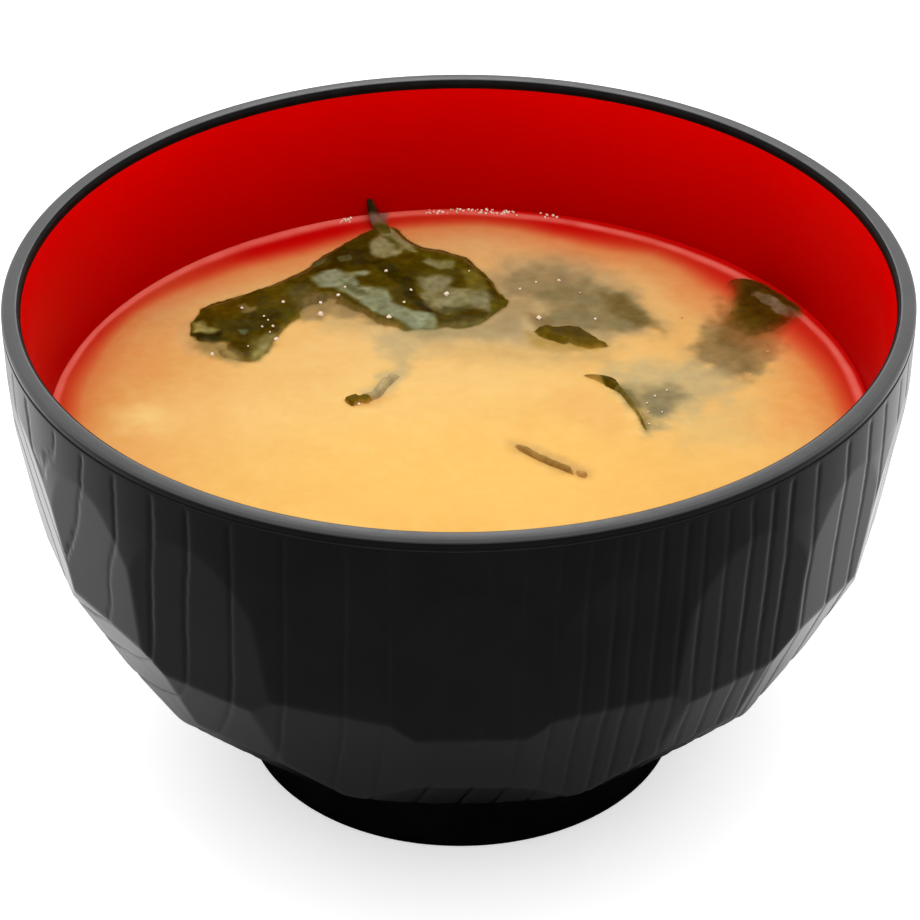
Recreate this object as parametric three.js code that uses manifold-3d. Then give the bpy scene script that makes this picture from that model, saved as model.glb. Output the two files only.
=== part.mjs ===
// A miso soup in its lacquered bowl: a turned bowl with planed facets outside and a foot ring below,
// filled with soup in which pieces of wakame seaweed float.
// Millimetres, +Z up. The origin is the middle of the foot's lower face, and the front is at -Y.

import * as THREE from 'three'
import { mergeVertices } from 'three/addons/utils/BufferGeometryUtils.js'
import Module from 'manifold-3d'

const wasm = await Module()
wasm.setup()

// ---- driving dimensions ----

const SEGMENTS = 96 // sides of every turned surface

// the turned outside of the bowl
const HEIGHT = 68.4
const BODY_RADIUS = 57.5
const WALL_START = 30
const BULGE_HEIGHT = 60.4 // below this height the wall curves in
const BULGE_RADIUS = 57.4
const WALL_SLOPE = 0.05
const WALL_CURVE = 0.0013 // per millimetre
const BODY_STEPS = 8

// the underside, which curves up and out from the foot
const UNDERSIDE_REACH = 52
const UNDERSIDE_SLOPE = 0.49
const UNDERSIDE_CURVE = 0.0102 // per millimetre
const UNDERSIDE_STEPS = 4

// the rim: a narrow smooth band set back by a fine step, with a rounded top
const BAND_HEIGHT = 1.2
const BAND_RADIUS = 57.4
const STEP_HEIGHT = 0.15
const RIM_INNER_RADIUS = 55.1
const RIM_ROUNDING = 0.45
const ROUNDING_STEPS = 3

// the hollow, from the rim down to the middle of its floor: [radius, height]
const HOLLOW_CURVE = [
  [55.1, 67.2],
  [54.55, 58],
  [53.1, 48.8],
  [50.6, 38.5],
  [46, 28.8],
  [37, 19.8],
  [24, 15.2],
  [10, 14.1]
]
const FLOOR_HEIGHT = 14
const HOLLOW_STEPS = 10

// the foot ring
const FOOT_HEIGHT = 9
const FOOT_RADIUS = 29.2
const FOOT_TOP_RADIUS = 28.5
const FOOT_WALL = 2.8
const FOOT_EDGE = 0.6
const FOOT_OVERLAP = 1.2
const RECESS_HEIGHT = 8.6
const RECESS_DOME = 0.6

// the facets: each kind repeats ten times round the bowl. A facet's plane stands `inradius` from the axis
// at `height`, and leans out upwards by `lean` degrees. `turn` counts half steps of 18 degrees, and
// `phase` is in degrees.
const FACET_COUNT = 10
const FACETS = [
  { inradius: 54.3, height: 40.25, lean: 8.6, turn: 0, phase: 1.6 }, // tall facets with an arched top
  { inradius: 54.65, height: 40.25, lean: 7.5, turn: 1, phase: 1.6 }, // slimmer tall facets between them
  { inradius: 53.75, height: 37.0, lean: 27.0, turn: 0, phase: 1.6 }, // low facets under the tall ones
  { inradius: 54.7, height: 40.25, lean: 25.6, turn: 1, phase: 1.2 }, // low facets under the slimmer ones
  { inradius: 43.1, height: 19.9, lean: 41.0, turn: 0, phase: 0.6 } // the turn to the underside
]
const CUTTER_SIZE = 160

// the soup
const SOUP_LEVEL = 48.8
const GAP = 0.3 // clearance between touching pieces

// the seaweed: each blade spans two edges, given from end to end as [x, y, height over the soup]
const BLADE_THICKNESS = 0.8
const BLADE_ROWS = 6

const FOLDED_BLADE = {
  columns: 34,
  ripple: 0.14,
  waves: 4.5,
  far: [
    [-36.0, 22.4, 0.4], [-34.6, 26.1, 0.5], [-31.6, 28.0, 0.7], [-28.3, 30.0, 0.6], [-23.2, 33.7, 0.8],
    [-15.9, 42.2, 1.0], [-11.3, 47.2, 1.2], [-9.4, 47.8, 1.2], [-5.7, 42.4, 0.9], [-2.2, 41.2, 0.8],
    [1.2, 38.5, 0.8], [4.0, 33.1, 0.6], [6.4, 28.0, 0.4]
  ],
  near: [
    [-35.9, 18.7, 0.4], [-34.4, 14.6, 0.3], [-31.4, 12.7, 0.2], [-26.3, 12.2, 0.2], [-24.0, 17.5, 0.3],
    [-21.6, 22.5, 0.3], [-18.5, 22.8, 0.2], [-13.3, 21.4, 0.2], [-7.9, 19.9, 0.2], [-2.5, 20.0, 0.2],
    [2.3, 20.8, 0.3], [6.1, 25.6, 0.4]
  ]
}

// the stalk end of the folded blade, which leans on the wall of the bowl
const STALK = {
  columns: 8,
  rows: 2,
  ripple: 0,
  waves: 0,
  far: [[-12.0, 46.2, 1.0], [-13.2, 49.4, 0.9], [-13.4, 51.2, 1.5], [-13.3, 51.6, 2.2]],
  near: [[-9.6, 46.6, 1.0], [-10.8, 49.6, 0.9], [-11.5, 51.6, 1.5], [-12.1, 51.9, 2.2]]
}

const BACK_BLADE = {
  columns: 16,
  ripple: 0.08,
  waves: 2.5,
  far: [[9.4, 22.6, 0.3], [11.7, 27.0, 0.3], [15.3, 30.6, 0.3], [20.1, 31.4, 0.4], [23.9, 27.0, 0.4], [26.9, 21.2, 0.3]],
  near: [[9.8, 20.0, 0.3], [12.1, 17.8, 0.4], [14.7, 16.2, 0.4], [17.4, 15.1, 0.4], [20.3, 15.6, 0.4], [26.8, 19.8, 0.3]]
}

const WALL_BLADE = {
  columns: 14,
  ripple: 0.1,
  waves: 2,
  far: [[35.6, 29.6, 0.4], [37.8, 33.2, 0.8], [40.4, 32.7, 1.0], [43.0, 30.3, 1.0], [45.4, 26.6, 0.8], [46.5, 24.0, 0.5]],
  near: [[35.2, 27.4, 0.3], [35.0, 21.6, 0.3], [37.7, 18.2, 0.2], [40.8, 18.3, 0.2], [44.0, 20.2, 0.3], [46.2, 22.4, 0.4]]
}

const FIN_BLADE = {
  columns: 16,
  rows: 3,
  ripple: 0.05,
  waves: 2,
  far: [[16.5, 8.9, 0.4], [19.6, 7.7, 0.6], [22.4, 5.6, 0.5], [24.5, 1.1, 0.4], [25.0, -4.0, 0.3]],
  near: [[16.4, 8.1, 0.4], [18.7, 6.5, 0.5], [20.8, 4.4, 0.5], [22.4, 0.4, 0.4], [23.8, -4.4, 0.3]]
}

const CURLED_BLADE = {
  columns: 14,
  rows: 3,
  ripple: 0.04,
  waves: 2,
  far: [[-15.1, 3.1, 0.4], [-13.8, 3.8, 0.5], [-11.8, 4.4, 0.5], [-10.5, 7.3, 0.4], [-8.9, 9.2, 0.3]],
  near: [[-14.9, 2.0, 0.4], [-13.6, 1.3, 0.4], [-11.3, 2.1, 0.4], [-9.4, 5.6, 0.3], [-7.8, 8.5, 0.3]]
}

const SLIVER_BLADE = {
  columns: 12,
  rows: 2,
  ripple: 0.03,
  waves: 2,
  far: [[7.2, -7.8, 0.3], [9.6, -9.5, 0.4], [12.1, -11.6, 0.4], [14.3, -13.4, 0.4], [16.3, -14.6, 0.3]],
  near: [[7.0, -8.7, 0.3], [9.3, -10.8, 0.4], [11.7, -12.9, 0.4], [13.9, -14.5, 0.4], [15.9, -15.5, 0.3]]
}

// ---- solids ----

function toSolid (geometry) {
  const bare = geometry.clone()
  bare.deleteAttribute('normal')
  bare.deleteAttribute('uv')
  const merged = mergeVertices(bare, 1e-4)
  const vertProperties = new Float32Array(merged.attributes.position.array)
  const triVerts = new Uint32Array(merged.index.array)
  return new wasm.Manifold(new wasm.Mesh({ numProp: 3, vertProperties, triVerts }))
}

function toGeometry (solid) {
  const mesh = solid.getMesh()
  const geometry = new THREE.BufferGeometry()
  geometry.setAttribute('position', new THREE.BufferAttribute(new Float32Array(mesh.vertProperties), 3))
  geometry.setIndex(new THREE.BufferAttribute(new Uint32Array(mesh.triVerts), 1))
  return geometry
}

// a solid of revolution about Z from a profile of [radius, height], from axis to axis, outside first
function turned (profile) {
  const points = profile.map(([radius, height]) => new THREE.Vector2(radius, height))
  const geometry = new THREE.LatheGeometry(points, SEGMENTS)
  geometry.rotateX(Math.PI / 2)
  return toSolid(geometry)
}

// points on a quarter circle round [radius, height], from one angle to another in degrees
function rounding (radius, height, size, from, to) {
  return Array.from({ length: ROUNDING_STEPS + 1 }, (_, i) => {
    const angle = THREE.MathUtils.degToRad(from + (to - from) * i / ROUNDING_STEPS)
    return [radius + size * Math.cos(angle), height + size * Math.sin(angle)]
  })
}

// ---- bowl ----

// the turned wall before the facets are planed
function wallRadius (height) {
  const below = BULGE_HEIGHT - height
  return BULGE_RADIUS - WALL_SLOPE * below - WALL_CURVE * below * below
}

function undersideProfile () {
  const reach = UNDERSIDE_REACH - FOOT_TOP_RADIUS
  return Array.from({ length: UNDERSIDE_STEPS + 1 }, (_, i) => {
    const out = reach * i / UNDERSIDE_STEPS
    return [FOOT_TOP_RADIUS + out, FOOT_HEIGHT + UNDERSIDE_SLOPE * out + UNDERSIDE_CURVE * out * out]
  })
}

function wallProfile () {
  const steps = Array.from({ length: BODY_STEPS + 1 }, (_, i) => {
    const height = WALL_START + (BULGE_HEIGHT - WALL_START) * i / BODY_STEPS
    return [wallRadius(height), height]
  })
  return [...steps, [BODY_RADIUS, HEIGHT - BAND_HEIGHT - STEP_HEIGHT]]
}

function rimProfile () {
  const outer = BAND_RADIUS - RIM_ROUNDING
  const inner = RIM_INNER_RADIUS + RIM_ROUNDING
  const top = HEIGHT - RIM_ROUNDING
  return [
    [BAND_RADIUS, HEIGHT - BAND_HEIGHT],
    ...rounding(outer, top, RIM_ROUNDING, 0, 90),
    ...rounding(inner, top, RIM_ROUNDING, 90, 180)
  ]
}

// the hollow's curve, moved by a clearance into the hollow
function hollowProfile (clearance) {
  const curve = new THREE.SplineCurve(HOLLOW_CURVE.map(([radius, height]) => new THREE.Vector2(radius, height)))
  return Array.from({ length: HOLLOW_STEPS + 1 }, (_, i) => {
    const point = curve.getPoint(i / HOLLOW_STEPS)
    const along = curve.getTangent(i / HOLLOW_STEPS)
    return [point.x + along.y * clearance, point.y - along.x * clearance]
  })
}

// a block whose inner face lies in a facet's plane
function cutter ({ inradius, height, lean, turn, phase }, index) {
  const block = new THREE.BoxGeometry(CUTTER_SIZE, CUTTER_SIZE, CUTTER_SIZE)
  block.translate(0, -CUTTER_SIZE / 2, 0)
  block.rotateX(THREE.MathUtils.degToRad(lean))
  block.translate(0, -inradius, height)
  const step = 360 / FACET_COUNT
  block.rotateZ(THREE.MathUtils.degToRad(phase + step * (index + turn / 2)))
  return toSolid(block)
}

function facetedBody () {
  let body = turned([
    [0, FOOT_HEIGHT],
    ...undersideProfile(),
    ...wallProfile(),
    ...rimProfile(),
    ...hollowProfile(0),
    [0, FLOOR_HEIGHT]
  ])
  for (const facet of FACETS) {
    for (let index = 0; index < FACET_COUNT; index++) {
      body = body.subtract(cutter(facet, index))
    }
  }
  return body
}

function footRing () {
  const top = FOOT_HEIGHT + FOOT_OVERLAP
  const ring = turned([
    [0, 0],
    ...rounding(FOOT_RADIUS - FOOT_EDGE, FOOT_EDGE, FOOT_EDGE, -90, 0),
    [FOOT_TOP_RADIUS, FOOT_HEIGHT],
    [FOOT_TOP_RADIUS - FOOT_EDGE, top],
    [0, top]
  ])
  const recessRadius = FOOT_RADIUS - FOOT_WALL
  const recess = turned([
    [0, -1],
    [recessRadius, -1],
    [recessRadius, FOOT_EDGE],
    [FOOT_TOP_RADIUS - FOOT_WALL, RECESS_HEIGHT - FOOT_EDGE],
    [FOOT_TOP_RADIUS - FOOT_WALL - FOOT_EDGE, RECESS_HEIGHT],
    [0, RECESS_HEIGHT + RECESS_DOME]
  ])
  return { ring, recess }
}

function bowl () {
  const { ring, recess } = footRing()
  return facetedBody().add(ring).subtract(recess)
}

// ---- seaweed ----

// a grid of points between a blade's two edges, rippled most in its middle
function bladeGrid ({ far, near, columns, rows = BLADE_ROWS, ripple, waves }) {
  const toCurve = edge => new THREE.CatmullRomCurve3(
    edge.map(([x, y, over]) => new THREE.Vector3(x, y, SOUP_LEVEL + over))
  )
  const farCurve = toCurve(far)
  const nearCurve = toCurve(near)
  return Array.from({ length: columns + 1 }, (_, i) => {
    const start = farCurve.getPoint(i / columns)
    const end = nearCurve.getPoint(i / columns)
    return Array.from({ length: rows + 1 }, (_, j) => {
      const across = j / rows
      const point = start.clone().lerp(end, across)
      const wave = Math.sin(2 * Math.PI * waves * i / columns + 3 * across)
      point.z += ripple * Math.sin(Math.PI * across) * wave
      return point
    })
  })
}

// the grid's border as [column, row] pairs, once round
function borderOf (columns, rows) {
  const border = []
  for (let i = 0; i < columns; i++) border.push([i, 0])
  for (let j = 0; j < rows; j++) border.push([columns, j])
  for (let i = columns; i > 0; i--) border.push([i, rows])
  for (let j = rows; j > 0; j--) border.push([0, j])
  return border
}

// moves a grid's border outwards in plan
function grown (grid, amount) {
  const border = borderOf(grid.length - 1, grid[0].length - 1)
  const moved = grid.map(column => column.map(point => point.clone()))
  border.forEach(([i, j], k) => {
    const [bi, bj] = border[(k + border.length - 1) % border.length]
    const [ai, aj] = border[(k + 1) % border.length]
    const along = grid[ai][aj].clone().sub(grid[bi][bj])
    moved[i][j].add(new THREE.Vector3(-along.y, along.x, 0).normalize().multiplyScalar(amount))
  })
  return moved
}

// a closed sheet of even thickness, with both faces split into triangles alike
function sheet (grid, thickness) {
  const columns = grid.length - 1
  const rows = grid[0].length - 1
  const positions = []
  for (const side of [thickness / 2, -thickness / 2]) {
    grid.forEach(column => column.forEach(point => positions.push(point.x, point.y, point.z + side)))
  }
  const lower = (columns + 1) * (rows + 1)
  const at = (i, j) => i * (rows + 1) + j
  const index = []
  for (let i = 0; i < columns; i++) {
    for (let j = 0; j < rows; j++) {
      const [a, b, c, d] = [at(i, j), at(i + 1, j), at(i + 1, j + 1), at(i, j + 1)]
      index.push(a, c, b, a, d, c)
      index.push(lower + a, lower + b, lower + c, lower + a, lower + c, lower + d)
    }
  }
  const border = borderOf(columns, rows)
  border.forEach(([i, j], k) => {
    const [ni, nj] = border[(k + 1) % border.length]
    const a = at(i, j)
    const b = at(ni, nj)
    index.push(a, b, lower + b, a, lower + b, lower + a)
  })
  const geometry = new THREE.BufferGeometry()
  geometry.setAttribute('position', new THREE.BufferAttribute(new Float32Array(positions), 3))
  geometry.setIndex(index)
  return toSolid(geometry)
}

function blade (shape) {
  return sheet(bladeGrid(shape), BLADE_THICKNESS)
}

// the room that a blade takes up in the soup
function bladeRoom (shape) {
  return sheet(grown(bladeGrid(shape), GAP), BLADE_THICKNESS + 2 * GAP)
}

// ---- soup ----

function soup (shapes) {
  const side = hollowProfile(GAP).filter(([, height]) => height < SOUP_LEVEL - GAP)
  const [above] = hollowProfile(GAP).filter(([, height]) => height >= SOUP_LEVEL - GAP).slice(-1)
  const [below] = side
  const share = (SOUP_LEVEL - below[1]) / (above[1] - below[1])
  const edge = below[0] + share * (above[0] - below[0])
  let body = turned([
    [0, FLOOR_HEIGHT + GAP],
    ...side.slice().reverse(),
    [edge, SOUP_LEVEL],
    [0, SOUP_LEVEL]
  ])
  for (const shape of shapes) {
    body = body.subtract(bladeRoom(shape))
  }
  return body
}

// ---- the object ----

const lacquer = new THREE.MeshStandardMaterial({ color: 0x141516, roughness: 0.18, metalness: 0 })
const broth = new THREE.MeshStandardMaterial({ color: 0xe8a95c, roughness: 0.3, metalness: 0 })
const seaweed = new THREE.MeshStandardMaterial({ color: 0x2c3414, roughness: 0.35, metalness: 0 })

const group = new THREE.Group()

function place (name, solid, material) {
  const mesh = new THREE.Mesh(toGeometry(solid), material.clone())
  mesh.name = name
  group.add(mesh)
}

place('bowl', bowl(), lacquer)
place('soup', soup([FOLDED_BLADE, STALK, BACK_BLADE, WALL_BLADE, FIN_BLADE, CURLED_BLADE, SLIVER_BLADE]), broth)
place('wakame_folded', blade(FOLDED_BLADE).add(blade(STALK)), seaweed)
place('wakame_back', blade(BACK_BLADE), seaweed)
place('wakame_wall', blade(WALL_BLADE), seaweed)
place('wakame_fin', blade(FIN_BLADE), seaweed)
place('wakame_curl', blade(CURLED_BLADE), seaweed)
place('wakame_sliver', blade(SLIVER_BLADE), seaweed)

export default group
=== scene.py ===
"""Looks for a miso soup in a faceted lacquered bowl: a turned black bowl with planed facets and wood-grain
grooves, red inside, filled with cloudy soup in which pieces of wakame float half covered by a film of soup.
Shapes are worked out in millimetres in the CAD frame and become metres when a mesh is made."""

import math

import bpy
import numpy as np
from mathutils import Matrix, Vector


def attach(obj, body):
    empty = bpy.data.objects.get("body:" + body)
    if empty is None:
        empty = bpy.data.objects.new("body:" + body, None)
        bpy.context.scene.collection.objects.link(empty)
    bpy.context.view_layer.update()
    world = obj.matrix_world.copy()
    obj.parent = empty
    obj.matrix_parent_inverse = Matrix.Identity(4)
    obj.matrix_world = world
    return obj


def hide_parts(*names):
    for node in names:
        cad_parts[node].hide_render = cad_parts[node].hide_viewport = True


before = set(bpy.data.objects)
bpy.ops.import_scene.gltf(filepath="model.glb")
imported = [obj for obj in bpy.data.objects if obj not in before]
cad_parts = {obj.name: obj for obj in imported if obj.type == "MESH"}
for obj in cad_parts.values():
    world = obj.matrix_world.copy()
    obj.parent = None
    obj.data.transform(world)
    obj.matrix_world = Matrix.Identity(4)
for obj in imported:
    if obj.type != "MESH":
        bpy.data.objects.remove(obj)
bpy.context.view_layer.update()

MM = 0.001

# ---- camera ----

PICTURE_SIZE = 920
FOCAL_PIXELS = 3342.2
SENSOR_MM = 36.0
CAMERA_PLACE = np.array([0.0, -364.21, 282.61])
CAMERA_AIM = np.array([0.0575, 0.0, 41.285])
CAMERA_ROLL = -0.00508

# ---- bowl, the same named sizes as the CAD source ----

HEIGHT = 68.4
BODY_RADIUS = 57.5
WALL_START = 30.0
BULGE_HEIGHT = 60.4
BULGE_RADIUS = 57.4
WALL_SLOPE = 0.05
WALL_CURVE = 0.0013
UNDERSIDE_REACH = 52.0
UNDERSIDE_SLOPE = 0.49
UNDERSIDE_CURVE = 0.0102
BAND_HEIGHT = 1.2
STEP_HEIGHT = 0.15
LIP_END = 67.25  # where the black of the rim gives way to red
RIM_INNER_RADIUS = 55.1
RIM_ROUNDING = 0.45
LIP_ROUNDING = 0.7
HOLLOW_CURVE = [(55.1, 67.2), (54.55, 58), (53.1, 48.8), (50.6, 38.5), (46, 28.8), (37, 19.8), (24, 15.2),
                (10, 14.1)]
# the fine groove under the band: how far in from the body's radius, and how far over the step
BAND_GROOVE = [(0.01, -0.2), (0.06, -0.12), (0.14, -0.04), (0.16, 0.02), (0.12, 0.08), (0.03, 0.16),
               (0.02, 0.3)]
FLOOR_HEIGHT = 14.0
FOOT_HEIGHT = 9.0
FOOT_RADIUS = 29.2
FOOT_TOP_RADIUS = 28.5
FOOT_WALL = 2.8
FOOT_EDGE = 0.6
RECESS_HEIGHT = 8.6
RECESS_DOME = 0.6
FACET_COUNT = 10
# inradius, height, lean in degrees, half steps turned, phase in degrees
FACETS = [
    (54.3, 40.25, 8.6, 0, 1.6),
    (54.65, 40.25, 7.5, 1, 1.6),
    (53.75, 37.0, 27.0, 0, 1.6),
    (54.7, 40.25, 25.6, 1, 1.2),
    (43.1, 19.9, 41.0, 0, 0.6),
]

# how the bowl's mesh is spread
AROUND = 1440
AROUND_PLAIN = 360
WALL_ROWS = 150
RAY_RADIUS, RAY_HEIGHT = 20.0, 46.0  # inside the wall: the outer surface is met by rays from this ring
FACET_BLEND = 0.16
TURN_BLEND = 0.26
ARCH_BLEND = 0.06
# how the rows spread over the outside: row, and the radius and height that it is aimed at
OUTER_SPREAD = np.array([(0, 28.0, 9.0), (5, 36.0, 13.2), (14, 43.5, 20.0), (32, 48.0, 25.5), (70, 53.6, 38.0),
                         (98, 55.8, 49.0), (125, 57.3, 60.0), (WALL_ROWS - 1, 57.5, 67.0)])
LEAST_GAIN, FAR_OFF = 0.05, 1e6  # a ray that nears a plane more slowly than this counts as missing it
TINY = 1e-9
UNDERSIDE_STEPS, WALL_STEPS = 60, 200

# the wood-grain grooves: where upright cylinders round GRAIN_CENTRE cross the wall
GRAIN_CENTRE = np.array([-132.4, -72.3])  # at GRAIN_HEIGHT, leaning by GRAIN_LEAN per millimetre of height
GRAIN_HEIGHT = 55.0
GRAIN_LEAN = np.array([-0.02, 0.049])
GRAIN_LEVELS = np.array([
    88.2, 90.4, 92.6, 93.65, 95.0, 97.2, 100.2, 103.4, 108.0, 113.7, 120.5, 125.1, 131.0, 136.4, 140.6, 144.6,
    148.2, 151.5, 153.9, 156.9, 159.9, 162.3, 165.3, 168.5, 171.3, 173.7, 177.4, 182.1, 186.1, 189.3, 193.0,
    195.6, 198.9, 201.4, 204.8, 207.0, 210.5,
])
GROOVE_DEPTH = 0.155
GROOVE_WIDTH = 0.6
BAND_CROWN = 0.012
GROOVE_TOP = 66.7
GROOVE_START = (34.0, 40.0)  # radius where the grooves begin, and where they are fully cut
GROOVE_END = (GROOVE_TOP + 0.3, GROOVE_TOP - 0.9)  # height where they end, and where they begin to fade
GRAIN_WAVER = [(0.4, 0.6, 17.0, 11), (0.16, 0.7, 4.2, 12), (0.05, 1.0, 1.1, 13)]  # reach, upright, size, seed
LEAST_ALONG = 0.02
GROOVE_DULL = 0.14  # how much rougher the bottom of a groove is than the polish round it

# ---- soup ----

SOUP_LEVEL = 48.8
GAP = 0.3
MENISCUS_RISE = 0.3
MENISCUS_REACH = 0.8
SOUP_AROUND = 720
SOUP_ROWS = 150
SOUP_EDGE_STEPS = np.array([-0.02, 0.12, 0.28, 0.45, 0.62, 0.82, 1.05, 1.3, 1.6])
SOUP_INSIDE = (248.0, 192, 104)  # colour below the surface
SOUP_RIPPLES = [(0.05, 7.0, 51), (0.014, 1.6, 52)]  # height, size, seed


# ---- helpers: camera, noise, masks, meshes ----

def camera_axes():
    forward = CAMERA_AIM - CAMERA_PLACE
    forward = forward / np.linalg.norm(forward)
    right = np.cross(forward, [0, 0, 1.0])
    right = right / np.linalg.norm(right)
    return forward, right, np.cross(right, forward)


def on_plane(pixels, height):
    """Where the lines of sight through the photograph's pixels meet a level plane, as x and y in millimetres."""
    forward, right, up = camera_axes()
    across, down = (np.asarray(pixels, float) - PICTURE_SIZE / 2).T
    c, s = math.cos(CAMERA_ROLL), math.sin(CAMERA_ROLL)
    u, v = c * across + s * down, c * down - s * across
    ray = forward + np.outer(u, right) / FOCAL_PIXELS - np.outer(v, up) / FOCAL_PIXELS
    reach = (height - CAMERA_PLACE[2]) / ray[:, 2]
    return (CAMERA_PLACE + ray * reach[:, None])[:, :2]


_tables = {}


def value_noise(points, size, seed):
    """Smooth noise from -1 to 1 at the given feature size. Each use has a seed of its own."""
    if seed not in _tables:
        state = np.random.RandomState(seed)
        _tables[seed] = (state.permutation(256), state.rand(256) * 2 - 1)
    order, values = _tables[seed]
    p = np.asarray(points, float) / size
    cell = np.floor(p).astype(int)
    f = p - cell
    f = f * f * (3 - 2 * f)
    total = 0.0
    for dx in (0, 1):
        for dy in (0, 1):
            for dz in (0, 1):
                at = order[(cell[..., 0] + dx) & 255]
                at = order[(at + cell[..., 1] + dy) & 255]
                at = order[(at + cell[..., 2] + dz) & 255]
                weight = (f[..., 0] if dx else 1 - f[..., 0]) * (f[..., 1] if dy else 1 - f[..., 1])
                total = total + values[at] * weight * (f[..., 2] if dz else 1 - f[..., 2])
    return total


def fractal(points, size, seed, octaves):
    total, strength = 0.0, 1.0
    for octave in range(octaves):
        total = total + strength * value_noise(points, size / 2 ** octave, seed + octave)
        strength *= 0.5
    return total


def smooth(low, high, value):
    t = np.clip((value - low) / (high - low), 0, 1)
    return t * t * (3 - 2 * t)


def depth_inside(xy, polygon):
    """Distance to a polygon's outline, positive inside."""
    a = np.asarray(polygon, float)
    b = np.roll(a, -1, axis=0)
    nearest = np.full(len(xy), np.inf)
    inside = np.zeros(len(xy), bool)
    for (ax, ay), (bx, by) in zip(a, b):
        ex, ey = bx - ax, by - ay
        wx, wy = xy[:, 0] - ax, xy[:, 1] - ay
        t = np.clip((wx * ex + wy * ey) / max(ex * ex + ey * ey, TINY), 0, 1)
        nearest = np.minimum(nearest, np.hypot(wx - t * ex, wy - t * ey))
        if ay != by:
            crosses = (ay > xy[:, 1]) != (by > xy[:, 1])
            inside ^= crosses & (wx < ex * wy / (by - ay))
    return np.where(inside, nearest, -nearest)


def level(points):
    return points * [1, 1, 0]


def to_linear(srgb):
    c = np.clip(np.asarray(srgb, float) / 255, 0, 1)
    return np.where(c <= 0.04045, c / 12.92, ((c + 0.055) / 1.055) ** 2.4)


def add_mesh(name, points, faces, materials, face_material=None):
    mesh = bpy.data.meshes.new(name)
    mesh.from_pydata((np.asarray(points) * MM).tolist(), [], faces)
    for material in materials:
        mesh.materials.append(material)
    mesh.polygons.foreach_set("use_smooth", np.ones(len(mesh.polygons), bool))
    if face_material is not None:
        mesh.polygons.foreach_set("material_index", np.asarray(face_material, np.int32))
    mesh.update()
    made = bpy.data.objects.new(name, mesh)
    bpy.context.scene.collection.objects.link(made)
    return made


def add_colours(made, name, linear):
    layer = made.data.color_attributes.new(name, "FLOAT_COLOR", "POINT")
    rgba = np.ones((len(linear), 4), np.float32)
    rgba[:, :3] = linear
    layer.data.foreach_set("color", rgba.ravel())


def add_values(made, name, values):
    layer = made.data.attributes.new(name, "FLOAT", "POINT")
    layer.data.foreach_set("value", np.asarray(values, np.float32))


def circle(count):
    angle = 2 * math.pi * np.arange(count) / count
    return np.sin(angle), -np.cos(angle)


def ring(radius, height, count):
    sine, cosine = circle(count)
    return np.stack([radius * sine, radius * cosine, np.full(count, float(height))], 1)


def rings_at(profile, count):
    return [ring(radius, height, count) for radius, height in profile]


def skin(rings):
    """Joins rings of points, outermost last or first, into faces. A ring of one point closes an end, and one ring
    may have a whole number of times as many points as the next. Returns points, faces and each face's row."""
    starts = np.cumsum([0] + [len(r) for r in rings])
    faces, rows = [], []
    for k in range(len(rings) - 1):
        a, b, n, m = starts[k], starts[k + 1], len(rings[k]), len(rings[k + 1])
        count = max(n, m)
        i = np.arange(count)
        j = (i + 1) % count
        if n == m:
            made = np.stack([a + i, a + j, b + j, b + i], 1).tolist()
        elif n == 1:
            made = np.stack([np.full(count, a), b + j, b + i], 1).tolist()
        elif m == 1:
            made = np.stack([a + i, a + j, np.full(count, b)], 1).tolist()
        else:
            made = stitched(a, b, n, m)
        faces += made
        rows += [k] * len(made)
    return np.concatenate(rings), faces, np.array(rows)


def stitched(a, b, n, m):
    """Faces between two rings where one has several times as many points as the other."""
    share = max(n, m) // min(n, m)
    made = []
    for c in range(min(n, m)):
        d = (c + 1) % min(n, m)
        fine = [(c * share + q) % max(n, m) for q in range(share + 1)]
        for q in range(share):
            coarse = c if q < share // 2 else d
            f, g = fine[q], fine[q + 1]
            made.append([a + f, a + g, b + coarse] if n > m else [a + coarse, b + g, b + f])
        middle = fine[share // 2]
        made.append([a + middle, b + d, b + c] if n > m else [a + c, a + d, b + middle])
    return made


def spline(points, count):
    """Points along a centripetal curve through the given ones, evenly by segment."""
    p = np.asarray(points, float)
    p = np.vstack([2 * p[0] - p[1], p, 2 * p[-1] - p[-2]])
    made = []
    for s in np.linspace(0, len(p) - 3, count):
        k = min(int(s), len(p) - 4)
        t = s - k
        q = p[k:k + 4]
        gaps = [max(np.linalg.norm(q[i + 1] - q[i]) ** 0.5, 1e-4) for i in range(3)]
        start = (q[1] - q[0]) / gaps[0] - (q[2] - q[0]) / (gaps[0] + gaps[1]) + (q[2] - q[1]) / gaps[1]
        end = (q[2] - q[1]) / gaps[1] - (q[3] - q[1]) / (gaps[1] + gaps[2]) + (q[3] - q[2]) / gaps[2]
        start, end = start * gaps[1], end * gaps[1]
        made.append(
            (2 * t ** 3 - 3 * t ** 2 + 1) * q[1] + (t ** 3 - 2 * t ** 2 + t) * start
            + (3 * t ** 2 - 2 * t ** 3) * q[2] + (t ** 3 - t ** 2) * end
        )
    return np.array(made)


# ---- bowl shape ----

def wall_radius(height):
    below = np.maximum(BULGE_HEIGHT - height, 0)
    bulge = BULGE_RADIUS - WALL_SLOPE * below - WALL_CURVE * below * below
    above = BULGE_RADIUS + (BODY_RADIUS - BULGE_RADIUS) * (height - BULGE_HEIGHT) / (GROOVE_TOP - BULGE_HEIGHT)
    return np.where(height <= BULGE_HEIGHT, bulge, np.minimum(above, BODY_RADIUS))


def turned_profile():
    """The turned outside before the facets are planed, from the foot up to the step under the rim."""
    out = np.linspace(0, UNDERSIDE_REACH - FOOT_TOP_RADIUS, UNDERSIDE_STEPS)
    low = np.stack([FOOT_TOP_RADIUS + out, FOOT_HEIGHT + UNDERSIDE_SLOPE * out + UNDERSIDE_CURVE * out ** 2], 1)
    heights = np.linspace(WALL_START, HEIGHT - BAND_HEIGHT - STEP_HEIGHT - 0.1, WALL_STEPS)
    return np.vstack([low, np.stack([wall_radius(heights), heights], 1)])


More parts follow.
